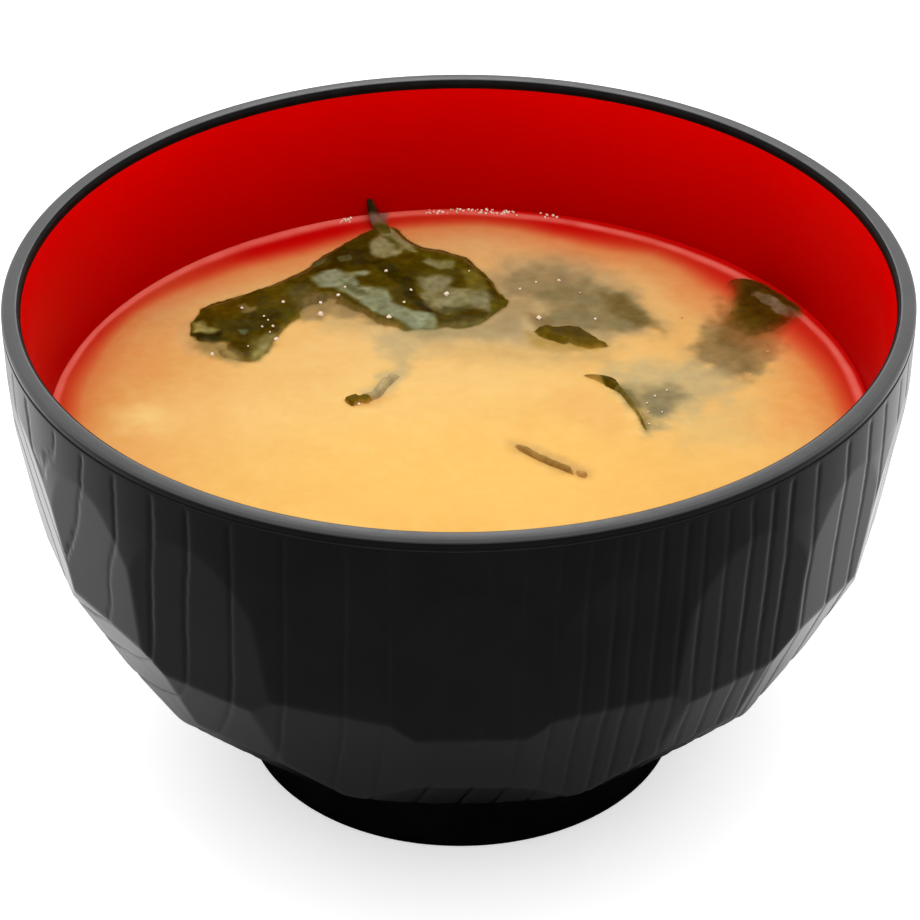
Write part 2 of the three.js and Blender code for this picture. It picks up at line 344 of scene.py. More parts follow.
def blend_min(a, b, width):
    return np.minimum(a, b) - np.maximum(width - np.abs(a - b), 0) ** 2 / (4 * width)


def nearest_plane(facets, out, up):
    """How far the rays, which go out and up by the given shares, reach until the nearest of the planed facets."""
    sine, cosine = circle(AROUND)
    found = []
    for inradius, level, lean, turn, phase in facets:
        lean = math.radians(lean)
        for index in range(FACET_COUNT):
            angle = math.radians(phase + 360 / FACET_COUNT * (index + turn / 2))
            facing = math.cos(lean) * (sine * math.sin(angle) - cosine * math.cos(angle))[None, :]
            offset = math.cos(lean) * inradius - math.sin(lean) * level
            gain = facing * out - math.sin(lean) * up
            short = offset - facing * RAY_RADIUS + math.sin(lean) * RAY_HEIGHT
            found.append(np.where(gain > LEAST_GAIN, short / np.maximum(gain, LEAST_GAIN), FAR_OFF))
    found = np.partition(np.array(found), 1, axis=0)
    return blend_min(found[0], found[1], FACET_BLEND)


def grain_offset(points):
    return points[..., :2] - GRAIN_CENTRE + (points[..., 2:] - GRAIN_HEIGHT) * GRAIN_LEAN


def grain_position(points):
    """How far along the grain a point is, in millimetres, with the slow and quick waver of grown wood."""
    flat = grain_offset(points)
    waver = sum(share * value_noise(points * [1, 1, upright], size, seed)
                for share, upright, size, seed in GRAIN_WAVER)
    return np.hypot(flat[..., 0], flat[..., 1]) + waver


def outer_rows():
    """The faceted outside as rows of points round the bowl, each point's place in the grain, the width of its band
    between two grooves, and how strong the grooves are there."""
    row, radius, height = OUTER_SPREAD.T
    at = np.arange(WALL_ROWS)
    pitch = np.arctan2(np.interp(at, row, height) - RAY_HEIGHT, np.interp(at, row, radius) - RAY_RADIUS)
    away, over = (turned_profile() - [RAY_RADIUS, RAY_HEIGHT]).T
    known = np.arctan2(over, away)
    pitch[0], pitch[-1] = known[0], known[-1]
    turned = np.interp(pitch, known, np.hypot(away, over))[:, None]
    out, up = np.cos(pitch)[:, None], np.sin(pitch)[:, None]
    body = blend_min(nearest_plane(FACETS[:-1], out, up), nearest_plane(FACETS[-1:], out, up), TURN_BLEND)
    reach = blend_min(body, np.broadcast_to(turned, body.shape), ARCH_BLEND)
    sine, cosine = circle(AROUND)

    def placed(distance):
        radius = RAY_RADIUS + distance * out
        return np.stack([radius * sine, radius * cosine, RAY_HEIGHT + distance * up + 0 * radius], -1)

    points = placed(reach)
    grain = grain_position(points)
    flat = grain_offset(points)
    flat = flat / np.linalg.norm(flat, axis=-1, keepdims=True)
    normal = np.cross(np.roll(points, -1, 1) - np.roll(points, 1, 1), np.gradient(points, axis=0))
    normal = normal / np.maximum(np.linalg.norm(normal, axis=-1, keepdims=True), TINY)
    along = np.sqrt(np.maximum(1 - (normal[..., :2] * flat).sum(-1) ** 2, LEAST_ALONG))

    band = np.clip(np.searchsorted(GRAIN_LEVELS, grain), 1, len(GRAIN_LEVELS) - 1)
    low, high = GRAIN_LEVELS[band - 1], GRAIN_LEVELS[band]
    share = np.clip((grain - low) / (high - low), 0, 1)
    nearest = np.minimum(np.abs(grain - low), np.abs(high - grain)) / along
    strength = smooth(*GROOVE_END, points[..., 2])
    strength = strength * smooth(*GROOVE_START, np.hypot(points[..., 0], points[..., 1]))
    strength = strength * (0.8 + 0.35 * value_noise(points * [1, 1, 0.5], 6.0, 14))
    sunk = GROOVE_DEPTH * np.clip(1 - nearest / GROOVE_WIDTH, 0, 1) ** 1.1 + BAND_CROWN * (2 * share - 1) ** 2
    return placed(reach - strength * sunk), band - 1 + share, (high - low) / along, strength


def arc(radius, height, rounding, start, end, count):
    """Points of a profile along an arc round the given place, by angle in degrees."""
    return [(radius + rounding * math.cos(a), height + rounding * math.sin(a))
            for a in np.radians(np.linspace(start, end, count))]


def rim_profile():
    """From the fine groove under the band over the rounded rim."""
    made = [(BODY_RADIUS - inset, HEIGHT - BAND_HEIGHT + rise) for inset, rise in BAND_GROOVE]
    made += arc(BODY_RADIUS - 0.02 - RIM_ROUNDING, HEIGHT - RIM_ROUNDING, RIM_ROUNDING, 0, 90, 10)
    return made + arc(RIM_INNER_RADIUS + LIP_ROUNDING, HEIGHT - LIP_ROUNDING, LIP_ROUNDING, 90, 180, 10)


def lip_profile():
    """The black line inside the rim, down to where the red begins."""
    top = HEIGHT - LIP_ROUNDING
    return [(RIM_INNER_RADIUS - 0.004 * k, top - (top - LIP_END) * k / 4) for k in range(1, 5)]


def hollow_profile():
    return [tuple(p) for p in spline(HOLLOW_CURVE, 60)] + [(5, FLOOR_HEIGHT + 0.03)]


def hollow_radius(height):
    curve = np.array(hollow_profile())
    return np.interp(height, curve[::-1, 1], curve[::-1, 0])


def foot_profile():
    """From the joint with the body down the foot, under it and up into the recess."""
    made = [(FOOT_TOP_RADIUS + 0.12 * (1 - t), FOOT_HEIGHT - 0.4 * t) for t in (0.0, 0.5, 1.0)]
    made += [(FOOT_TOP_RADIUS + (FOOT_RADIUS - FOOT_TOP_RADIUS) * t, FOOT_HEIGHT + (FOOT_EDGE - FOOT_HEIGHT) * t)
             for t in np.linspace(0.15, 0.95, 7)]
    made += arc(FOOT_RADIUS - FOOT_EDGE, FOOT_EDGE, FOOT_EDGE, 0, -90, 7)
    made += arc(FOOT_RADIUS - FOOT_WALL + FOOT_EDGE, FOOT_EDGE, FOOT_EDGE, -90, -180, 6)
    top = FOOT_TOP_RADIUS - FOOT_WALL
    made += [(top + 0.3, 4.5), (top, RECESS_HEIGHT - 1.0), (top - 0.2, RECESS_HEIGHT - 0.35),
             (top - 0.8, RECESS_HEIGHT)]
    return made + [(top * t, RECESS_HEIGHT + RECESS_DOME * (1 - t)) for t in (0.85, 0.6, 0.3)]


# ---- painting: layers of colour, painted shadows, shade and sheen among them, given as outlines seen in the photograph ----

class Layer:
    """A soft-edged patch of colour. Its outline is in pixels of the photograph, laid on a level plane."""

    def __init__(self, height, colour, strength, softness, waver, pixels):
        self.colour, self.strength, self.softness, self.waver = colour, strength, softness, waver
        self.outline = on_plane(pixels, height)

    def mask(self, points):
        near = self.softness + 2 * self.waver + 0.5
        low, high = self.outline.min(0) - near, self.outline.max(0) + near
        xy = points[:, :2]
        found = np.zeros(len(points))
        close = np.all((xy > low) & (xy < high), axis=1)
        if close.any():
            flat = level(points[close])
            depth = depth_inside(xy[close], self.outline) + self.waver * fractal(flat, 2.2, 31, 3)
            patchy = 1.0 if self.strength > EVEN_STRENGTH else 0.93 + 0.16 * fractal(flat, 1.3, 33, 2)
            found[close] = np.minimum(self.strength * patchy, 1) * smooth(-self.softness, self.softness, depth)
        return found


def layers_at(height, *rows):
    """Layers at one height, each given by its colour, strength, softness, waver and outline."""
    return [Layer(height, *row) for row in rows]


def toward(colours, colour, share):
    return colours + (np.array(colour, float) - colours) * share[:, None]


def painted(points, colours, layers, within=1.0):
    """The colours with the layers laid over them, and how far the layers cover each point."""
    cover = np.zeros(len(points))
    for layer in layers:
        mask = layer.mask(points) * within
        colours = toward(colours, layer.colour, mask)
        cover = np.maximum(cover, mask)
    return colours, cover


def graded(values, stops):
    """Colours by a value, from stops of value, red, green and blue."""
    stops = np.array(stops, float)
    return np.stack([np.interp(values, stops[:, 0], stops[:, k]) for k in (1, 2, 3)], 1)


EVEN_STRENGTH = 0.94  # above this a layer isn't patchy
LEAF_LEVEL = SOUP_LEVEL + 0.7
LOW_LEAF_LEVEL = SOUP_LEVEL + 0.4

SOUP_LAYERS = layers_at(SOUP_LEVEL,
    # pale lump just under the surface at the left
    ((255, 224, 138), 0.9, 3.2, 1.0, [(120, 414), (140, 407), (164, 412), (172, 421), (158, 430), (128, 427)]),
    # warmer water at the far left and far right
    ((238, 162, 88), 0.7, 6.0, 1.5, [(70, 352), (120, 330), (172, 330), (150, 372), (112, 396), (72, 398)]),
    ((240, 160, 78), 0.7, 6.0, 1.5, [(780, 392), (812, 366), (846, 372), (850, 398), (820, 424), (780, 430)]),
    # warmer tone over the middle of the front, and beside the fin a painted shadow that the fin casts on the soup
    ((255, 200, 99), 0.6, 7.0, 1.5, [(330, 440), (600, 430), (660, 500), (480, 530), (300, 505)]),
    ((240, 184, 96), 0.75, 1.8, 0.6, [(560, 388), (592, 384), (612, 394), (628, 408), (638, 430), (610, 440),
        (572, 424), (548, 404)]),
    ((220, 190, 118), 0.6, 4.0, 1.5, [(664, 420), (720, 400), (756, 402), (740, 440), (690, 446)]),
    # the sunk part of the large leaf and the haze round it
    ((196, 172, 116), 0.7, 2.6, 1.0, [(296, 308), (350, 316), (400, 326), (484, 330), (520, 322), (534, 342),
        (470, 348), (430, 356), (404, 352), (380, 338), (330, 330)]),
    ((146, 124, 78), 0.85, 1.2, 0.7, [(290, 292), (312, 288), (332, 292), (352, 303), (372, 312), (396, 322),
        (384, 325), (356, 319), (326, 315), (306, 320), (297, 316)]),
    ((152, 138, 90), 0.8, 1.5, 0.8, [(392, 322), (440, 328), (476, 322), (500, 314), (516, 322), (500, 336),
        (440, 338), (404, 334)]),
    ((188, 168, 114), 0.8, 1.6, 0.9, [(370, 334), (412, 332), (416, 352), (408, 372), (398, 382), (384, 376),
        (392, 364), (384, 354), (376, 346)]),
    ((146, 126, 70), 0.85, 1.2, 0.6, [(190, 334), (216, 336), (240, 350), (254, 360), (236, 363), (208, 356),
        (190, 350)]),
    ((200, 164, 118), 0.45, 1.6, 0.5, [(182, 324), (190, 320), (192, 344), (204, 360), (186, 354), (178, 340)]),
    # round the back leaf, and the part of it seen through the soup
    ((168, 150, 106), 0.76, 3.0, 1.2, [(480, 272), (506, 258), (560, 252), (596, 262), (640, 298), (664, 329),
        (630, 336), (600, 347), (545, 347), (500, 343), (476, 330), (484, 300)]),
    ((134, 120, 82), 0.75, 1.8, 1.0, [(498, 276), (530, 266), (562, 266), (590, 282), (584, 298), (560, 296),
        (530, 300), (504, 296)]),
    ((120, 113, 74), 0.85, 1.4, 0.8, [(530, 292), (560, 284), (600, 286), (632, 296), (652, 318), (636, 328),
        (606, 334), (560, 330), (532, 322), (548, 308)])
) + layers_at(LOW_LEAF_LEVEL,
    ((94, 82, 32), 0.66, 0.9, 0.4, [(606, 293), (622, 292), (635, 301), (646, 312), (664, 329), (640, 322),
        (622, 316), (610, 306)])
) + layers_at(SOUP_LEVEL,
    ((162, 140, 94), 0.7, 1.2, 0.7, [(488, 300), (530, 302), (534, 314), (520, 328), (492, 330)]),
    ((124, 104, 60), 0.7, 0.9, 0.5, [(524, 312), (548, 314), (560, 326), (536, 328)]),
    ((166, 132, 46), 0.85, 0.8, 0.4, [(526, 332), (548, 338), (572, 344), (606, 345), (596, 352), (560, 353),
        (534, 347)]),
    # painted shadow of the back leaf on the soup below it
    ((204, 168, 96), 0.75, 3.0, 1.0, [(440, 346), (500, 344), (560, 350), (620, 346), (612, 362), (540, 366),
        (470, 362)]),
    # round the wall leaf, and its trail down to the left
    ((200, 166, 104), 0.7, 2.6, 1.2, [(684, 356), (706, 322), (722, 292), (730, 276), (744, 334), (784, 334),
        (772, 364), (748, 384), (712, 380)]),
    ((126, 108, 64), 0.92, 1.4, 0.9, [(710, 326), (720, 296), (740, 334), (786, 329), (776, 350), (766, 366),
        (746, 380), (726, 376), (710, 368), (696, 360), (698, 342)]),
    ((112, 92, 44), 0.75, 1.1, 0.8, [(716, 318), (728, 300), (744, 326), (786, 330), (768, 344), (744, 354),
        (722, 346)]),
    # round the fin
    ((188, 172, 122), 0.8, 2.8, 1.2, [(606, 372), (644, 362), (690, 360), (730, 372), (742, 390), (706, 404),
        (668, 422), (650, 430), (640, 408), (622, 390)]),
    ((124, 116, 76), 0.9, 1.9, 0.9, [(624, 390), (644, 386), (674, 388), (692, 394), (674, 410), (656, 424),
        (645, 429), (637, 409), (629, 398)]),
    ((112, 100, 48), 0.8, 0.6, 0.3, [(614, 384), (630, 391), (641, 403), (650, 420), (647, 431), (638, 412),
        (626, 396)]),
    # round the curl: painted shade under it, then its trail of film
    ((228, 172, 96), 0.7, 0.9, 0.4, [(346, 402), (368, 402), (388, 392), (394, 396), (376, 406), (352, 408)]),
    ((196, 176, 122), 0.6, 0.8, 0.4, [(354, 392), (372, 384), (384, 372), (404, 370), (408, 378), (396, 388),
        (378, 398), (364, 400)]),
    # round the sliver
    ((208, 164, 92), 0.75, 1.2, 0.5, [(508, 441), (530, 443), (590, 470), (592, 477), (556, 472), (514, 452)])
)

LEAF_LAYERS = {
    "wakame_folded": layers_at(LEAF_LEVEL,
        ((74, 58, 2), 1.0, 0.75, 0.5, [(180, 335), (184, 310), (203, 298), (224, 292), (250, 290), (262, 282),
            (274, 278), (293, 268), (310, 256), (332, 243), (354, 228), (376, 210), (395, 208), (412, 226),
            (440, 240), (466, 250), (490, 272), (500, 290), (516, 292), (512, 306), (494, 315), (472, 324),
            (452, 329), (436, 332), (410, 329), (388, 321), (370, 312), (355, 305), (342, 299), (330, 294),
            (310, 292), (298, 297), (300, 308), (301, 320), (297, 330), (284, 333), (280, 344), (270, 363),
            (250, 362), (236, 350), (222, 340), (204, 337), (184, 337)]),
        ((92, 66, 2), 0.8, 1.2, 0.7, [(206, 304), (230, 298), (256, 298), (262, 312), (236, 318), (212, 314)]),
        ((92, 70, 6), 0.8, 0.9, 0.5, [(258, 286), (284, 284), (292, 300), (270, 304)]),
        ((56, 38, 0), 0.75, 1.0, 0.7, [(300, 276), (334, 254), (372, 242), (372, 262), (344, 268), (310, 276)]),
        ((40, 34, 2), 0.9, 0.6, 0.5, [(190, 329), (223, 328), (230, 338), (214, 340), (192, 338)]),
        ((58, 46, 0), 0.8, 0.9, 0.6, [(232, 318), (262, 310), (290, 310), (284, 322), (252, 330)]),
        ((90, 80, 2), 0.8, 0.7, 0.5, [(281, 309), (299, 308), (301, 326), (282, 331)]),
        ((86, 74, 6), 0.8, 0.8, 0.5, [(414, 244), (444, 246), (470, 262), (456, 270), (430, 258), (410, 254)]),
        ((98, 84, 42), 0.8, 0.9, 0.6, [(287, 290), (300, 284), (318, 290), (330, 296), (300, 304), (290, 300)]),
        # painted sheen: pale grey-green patches, with darker gaps, where the wet film on the leaf mirrors the
        # light
        ((154, 162, 130), 0.92, 0.6, 0.4, [(309, 277), (321, 272), (334, 267), (345, 272), (366, 270),
            (371, 272), (364, 276), (358, 277), (360, 285), (375, 288), (388, 290), (397, 301), (414, 309),
            (429, 310), (437, 318), (434, 329), (418, 329), (397, 320), (375, 311), (360, 301), (345, 294),
            (332, 287), (319, 286), (310, 281)]),
        ((74, 72, 34), 0.6, 0.4, 0.5, [(340, 280), (356, 284), (372, 294), (360, 296), (344, 288)]),
        ((158, 150, 106), 0.92, 0.55, 0.45, [(369, 246), (379, 240), (386, 229), (397, 228), (405, 238),
            (418, 251), (416, 255), (405, 251), (395, 257), (382, 259), (373, 255)]),
        ((84, 78, 24), 0.85, 0.5, 0.3, [(384, 240), (390, 236), (402, 247), (398, 251)]),
        ((150, 148, 106), 0.9, 0.5, 0.35, [(423, 262), (429, 259), (440, 264), (453, 262), (454, 270),
            (440, 270), (429, 266)]),
        ((152, 146, 106), 0.92, 0.8, 0.5, [(421, 277), (440, 275), (453, 277), (453, 285), (484, 288),
            (494, 305), (490, 311), (473, 305), (458, 307), (447, 311), (429, 305), (421, 292)]),
        # painted shade along a fold
        ((42, 32, 0), 0.92, 0.4, 0.5, [(367, 262), (379, 259), (392, 266), (410, 281), (418, 296), (431, 309),
            (414, 303), (399, 287), (382, 273)]),
        ((114, 100, 30), 0.88, 0.6, 0.5, [(458, 268), (478, 270), (490, 288), (468, 288)]),
        ((96, 84, 8), 0.92, 0.5, 0.2, [(492, 298), (510, 295), (508, 307), (490, 315)]),
        ((156, 134, 76), 0.62, 1.1, 0.4, [(206, 338), (224, 342), (240, 352), (252, 361), (238, 360),
            (220, 352)]),
        ((122, 114, 66), 0.8, 0.9, 0.6, [(438, 320), (470, 318), (494, 312), (476, 326), (446, 331)]),
        ((62, 54, 14), 0.7, 0.4, 0.4, [(440, 304), (456, 306), (470, 304), (466, 309), (444, 311)]),
        ((180, 170, 100), 0.9, 0.5, 0.25, [(192, 318), (202, 318), (208, 326), (219, 327), (206, 331),
            (193, 329)]),
        # the next two: small spots of painted sheen
        ((132, 116, 70), 0.85, 0.22, 0.3, [(238, 305), (245, 303), (249, 308), (258, 306), (256, 310),
            (243, 311)]),
        ((104, 112, 84), 0.8, 0.2, 0.2, [(236, 327), (247, 327), (244, 331)]),
        ((160, 150, 90), 0.88, 0.9, 0.5, [(256, 336), (266, 330), (278, 331), (280, 342), (271, 357),
            (265, 363), (250, 361)]),
        # the last two: small spots of painted sheen
        ((96, 96, 58), 0.8, 0.22, 0.3, [(304, 262), (318, 256), (330, 258), (318, 264)]),
        ((98, 98, 60), 0.8, 0.2, 0.3, [(337, 258), (350, 256), (352, 260), (340, 262)])
    ),
    "wakame_back": layers_at(LOW_LEAF_LEVEL,
        ((98, 76, 0), 0.98, 0.35, 0.3, [(534, 329), (546, 326), (562, 327), (580, 327), (590, 332), (600, 340),
            (610, 344), (590, 347), (575, 343), (570, 339), (563, 341.5), (551, 338), (540, 334)]),
        ((74, 54, 0), 0.85, 0.6, 0.3, [(546, 327), (564, 326), (584, 328), (595, 338), (576, 337), (560, 334)])
    ),
    "wakame_wall": layers_at(LEAF_LEVEL,
        ((80, 58, 8), 0.97, 1.9, 0.6, [(732, 276), (742, 266), (762, 270), (788, 286), (816, 308), (808, 330),
            (784, 336), (766, 338), (744, 338), (722, 336), (720, 322), (726, 308), (730, 292)]),
        ((74, 46, 4), 0.8, 0.9, 0.5, [(736, 284), (754, 284), (772, 304), (788, 318), (764, 324), (744, 306)]),
        ((104, 80, 30), 0.7, 1.6, 0.6, [(718, 318), (744, 320), (772, 328), (742, 336), (718, 336)]),
        # painted highlight: a grey streak where the wet film on the leaf mirrors the light
        ((146, 126, 106), 0.8, 0.22, 0.7, [(753, 296), (758, 292.5), (768, 294), (778, 300), (788, 306),
            (798, 312), (786, 314), (775, 311), (765, 303.5), (758, 300)]),
        ((150, 34, 22), 0.6, 0.5, 0.2, [(789, 319), (800, 315), (797, 326), (787, 326)])
    ),
    "wakame_fin": layers_at(LOW_LEAF_LEVEL,
        ((114, 96, 30), 0.92, 0.22, 0.1, [(583, 372.8), (597, 374.4), (608, 378.4), (618.5, 386),
            (628.5, 395.4), (637.5, 407), (643.5, 418), (648, 431), (643, 427), (638.5, 415), (631, 403.5),
            (620.5, 392), (608, 383.6), (596, 377.4)]),
        ((88, 68, 0), 1.0, 0.18, 0.1, [(600, 376.6), (608, 376.8), (616, 381.5), (619, 386), (612, 387.5),
            (605, 383)])
    ),
    "wakame_curl": layers_at(LOW_LEAF_LEVEL,
        ((184, 164, 116), 0.9, 0.45, 0.3, [(356, 391), (374, 384), (381, 375), (390, 367), (404, 371),
            (397, 383), (389, 388), (381, 395), (368, 398)]),
        ((106, 80, 0), 1.0, 0.18, 0.12, [(344, 398), (349, 394.6), (356, 394.2), (359, 396.6), (363, 394.6),
            (368, 395.4), (371, 398), (366, 401), (360, 399.6), (357, 401), (352, 404.4), (347, 401)])
    ),
    "wakame_sliver": layers_at(LOW_LEAF_LEVEL,
        ((174, 136, 66), 0.92, 0.35, 0.2, [(513, 442.5), (527, 445), (541, 454.5), (553, 459.5), (571, 467),
            (574, 472), (557, 468), (541, 461.5), (525, 453)]),
        ((198, 152, 86), 0.85, 0.25, 0.1, [(576, 469.6), (587, 472), (586, 475), (578, 473)])
    ),
}

# the film round the stalk, over the edge of the soup
STALK_FILM = layers_at(SOUP_LEVEL, ((150, 104, 90), 0.85, 0.4, 0.2, [
    (366, 215), (376, 210), (389, 215), (388, 223), (376, 222)]))

# broth colours from the front to the back, by y in millimetres, darker and redder towards the back: painted shade
# and a painted reflection of the red wall
BROTH_AND_SHADE_BY_DEPTH = [(-55, 255, 203, 98), (-20, 253, 204, 104), (5, 245, 199, 112), (25, 232, 186, 112),
                  (40, 226, 174, 108), (55, 222, 158, 96)]
# what the far left, the cloud and its fine grain add to them
LEFT_TINT, CLOUD_TINT, FINE_TINT = np.array([[-9, -22, -14], [2.5, 5.5, 6.5], [0.8, 1.8, 2.2]])
LEFT_FROM, LEFT_TO = -22, -52
# pink: a painted highlight on the meniscus; red and orange: the wall, partly seen through the broth, partly a
# painted reflection
EDGE_PINK, EDGE_RED, EDGE_ORANGE = (254, 120, 108), (212, 8, 6), (234, 124, 64)
ORANGE_SHARE = 0.6
# where the orange and the red begin and are full, as shares of the red's reach
ORANGE_RAMP, RED_RAMP = (2.5, 0.85), (1.3, 0.45)
BACK_FROM, BACK_TO = 108, 126  # degrees from the front where the edge turns from that of the sides to the back's
# by angle from the front: how far the red of the wall shows, partly through the clear broth and partly as a
# painted reflection of the wall, how full it is, and where the meniscus, whose thin soup with a painted highlight
# on it makes a pink line, starts and ends
EDGE_BY_ANGLE = np.array([
    (-180, 4.2, 0.66, 0.2, 1.5), (-170, 4.4, 0.72, 0.0, 1.6), (-160, 5.6, 1.0, -0.15, 2.0),
    (-152, 6.0, 1.0, -0.05, 2.3), (-146, 6.0, 0.97, -0.05, 2.2), (-140, 5.0, 0.72, -0.05, 1.9),
    (-134, 4.4, 0.6, -0.1, 1.5), (-128, 3.6, 0.5, -0.1, 1.4), (-120, 2.6, 0.55, -0.1, 1.1),
    (-112, 2.5, 0.66, -0.1, 0.7), (-104, 3.1, 0.56, -0.05, 0.9), (-98, 3.1, 0.52, -0.05, 1.1),
    (-86, 3.2, 0.54, 0.0, 1.3), (-60, 1.6, 0.7, 0.0, 1.4), (0, 1.0, 0.8, 0.0, 1.5), (60, 1.8, 0.7, 0.2, 1.6),
    (86, 3.4, 0.62, 0.3, 1.8), (92, 3.9, 0.66, 0.4, 1.9), (98, 4.5, 0.7, 0.5, 2.0), (104, 4.8, 0.71, 0.55, 1.8),
    (112, 6.0, 0.72, 0.7, 1.8), (128, 6.8, 0.72, 0.85, 2.5), (134, 6.6, 0.74, 0.88, 2.7),
    (140, 5.3, 0.7, 0.88, 2.6), (146, 4.8, 0.66, 0.88, 2.4), (152, 5.7, 0.74, 0.84, 2.6),
    (158, 6.1, 0.88, 0.76, 2.6), (164, 5.6, 0.92, 0.62, 2.4), (170, 4.6, 0.72, 0.48, 2.2),
    (176, 4.0, 0.66, 0.4, 1.8), (180, 4.2, 0.66, 0.2, 1.5),
])


def wall_distance(points):
    return hollow_radius(SOUP_LEVEL) - np.hypot(points[:, 0], points[:, 1])


def angle_from_front(points):
    return np.degrees(np.arctan2(points[:, 0], -points[:, 1]))


def edge_value(points, column):
    return np.interp(angle_from_front(points), EDGE_BY_ANGLE[:, 0], EDGE_BY_ANGLE[:, column])


def red_reach(points):
    return edge_value(points, 1) * (1 + 0.06 * value_noise(level(points), 7.0, 41))


def broth_and_light_colours(points):
    """The soup's surface: the broth, darker and redder towards the back with painted shade and a painted
    reflection of the wall, the haze and films in it with painted shadows of the leaves, and its edge along the
    wall, whose red is partly a painted reflection of the wall and whose pink line is a painted highlight on the
    meniscus.
    """
    flat = level(points)
    colours = graded(points[:, 1] + 5 * value_noise(flat, 24.0, 42), BROTH_AND_SHADE_BY_DEPTH)
    colours = colours + smooth(LEFT_FROM, LEFT_TO, points[:, 0])[:, None] * LEFT_TINT
    cloud, fine = fractal(flat, 9.0, 43, 3)[:, None], fractal(flat, 1.7, 47, 2)[:, None]
    colours, _ = painted(points, colours + cloud * CLOUD_TINT + fine * FINE_TINT, SOUP_LAYERS)

    # the edge: the wall's red and orange, partly seen through the broth and partly a painted reflection of the
    # wall
    near = wall_distance(points)
    ramp = near / red_reach(points)
    colours = toward(colours, EDGE_ORANGE, ORANGE_SHARE * smooth(*ORANGE_RAMP, ramp))
    # the red fades evenly at the sides and more suddenly at the back
    behind = smooth(BACK_FROM, BACK_TO, np.abs(angle_from_front(points)))
    even = np.clip((RED_RAMP[0] - ramp) / (RED_RAMP[0] - RED_RAMP[1]), 0, 1)
    red = behind * smooth(*RED_RAMP, ramp) + (1 - behind) * even
    full, start, end = (edge_value(points, column) for column in (2, 3, 4))
    place_in = near + 0.06 * value_noise(flat, 3.0, 44)
    full = full + (1 - full) * smooth(start + 0.1, start - 0.2, place_in) * smooth(0.2, 0.3, start)
    colours = toward(colours, EDGE_RED, red * full)
    # the pink line: the meniscus's thin soup over the red wall, with a painted highlight on it
    pink = smooth(start - 0.25, start + 0.3, place_in) * (0.88 + 0.14 * value_noise(flat, 2.0, 45))
    pink = pink * smooth(np.maximum(end, start + 0.9), start + 0.7, place_in)
    return painted(points, toward(colours, EDGE_PINK, np.clip(pink, 0, 1)), STALK_FILM)[0]


# ---- materials ----

PAINT_GAIN = 0.86  # share of the shown colour that the paint itself has to give back under the studio light


class Nodes:
    """A material's node tree with short calls."""

    def __init__(self, name, glows=False):
        self.material = bpy.data.materials.new(name)
        self.material.use_nodes = True
        self.tree = self.material.node_tree
        if glows:
            self.tree.nodes.clear()
            self.shader = self.tree.nodes.new("ShaderNodeEmission")
            output = self.tree.nodes.new("ShaderNodeOutputMaterial")
            self.feed(output.inputs["Surface"], self.shader.outputs[0])
        else:
            self.shader = self.tree.nodes["Principled BSDF"]

    def feed(self, socket, value):
        """Gives a socket a number, a colour, a vector or another node's output."""
        if isinstance(value, (int, float)):
            socket.default_value = value
        elif isinstance(value, tuple):
            socket.default_value = (*value, 1.0)[:len(socket.default_value)]
        else:
            self.tree.links.new(value, socket)

    def set(self, **values):
        """Feeds the shader's sockets by name."""
        for key, value in values.items():
            self.feed(self.shader.inputs[key.replace("_", " ")], value)
        return self.material

    def node(self, kind, output, inputs, **settings):
        """Adds a node, feeds its sockets and returns one of its outputs."""
        made = self.tree.nodes.new("ShaderNode" + kind)
        for key, value in settings.items():
            setattr(made, key, value)
        for key, value in inputs.items():
            self.feed(made.inputs[key], value)
        return made.outputs[output]

    def place(self):
        return self.node("TexCoord", "Object", {})

    def axis(self, name):
        """The place on the object along one axis, in metres."""
        return self.node("SeparateXYZ", name, {0: self.place()})

    def noise(self, scale, detail=3.0, roughness=0.5):
        """Noise whose features repeat `scale` times a metre."""
        scale = scale if isinstance(scale, tuple) else (scale,) * 3
        place = self.node("Mapping", "Vector", {"Vector": self.place(), "Scale": scale})
        inputs = {"Vector": place, "Scale": 1.0, "Detail": detail, "Roughness": roughness}
        return self.node("TexNoise", "Fac", inputs)

    def ranged(self, value, low, high, to_low, to_high, kind="SMOOTHSTEP"):
        inputs = {"Value": value, "From Min": low, "From Max": high, "To Min": to_low, "To Max": to_high}
        return self.node("MapRange", "Result", inputs, interpolation_type=kind)

    def math(self, operation, *values):
        return self.node("Math", 0, dict(enumerate(values)), operation=operation)

    def mixed(self, share, a, b):
        return self.node("Mix", 2, {"Factor": share, 6: a, 7: b}, data_type="RGBA")

    def attribute(self, name, output="Fac"):
        return self.node("Attribute", output, {}, attribute_name=name)

    def bump(self, distance, height, **under):
        """A bump of the given depth in metres, over another one where Normal names it."""
        return self.node("Bump", "Normal", {"Strength": 1.0, "Distance": distance, "Height": height, **under})

    def tones(self, dark, light, scale, detail, roughness=0.5, spread=(0.35, 0.7)):
        """Two colours in soft patches."""
        return self.mixed(self.ranged(self.noise(scale, detail, roughness), *spread, 0, 1), dark, light)

    def uneven(self, low, high, scale, detail, spread=(0.3, 0.75)):
        """A number that wanders between two."""
        return self.ranged(self.noise(scale, detail), *spread, low, high)


def plain(name, tones, polish=None, dents=None, **fixed):
    """A finish of the shader's fixed values under two tones, uneven polish and fine dents, all from noise."""
    n = Nodes(name)
    n.set(**fixed, Base_Color=n.tones(*tones))
    if polish:
        n.set(Roughness=n.uneven(*polish))
    if dents:
        n.set(Normal=n.bump(dents[0], n.noise(*dents[1:])))
    return n.material


def rim_lacquer():
    """The rim's top, lighter and more reflective than the body's coat."""
    return plain("rim_lacquer", ((0.005, 0.0055, 0.006), (0.011, 0.0115, 0.012), 160, 4, 0.6),
                 (0.16, 0.3, (240, 240, 900), 3), (0.000006, 420, 2), IOR=1.7, Roughness=0.2)


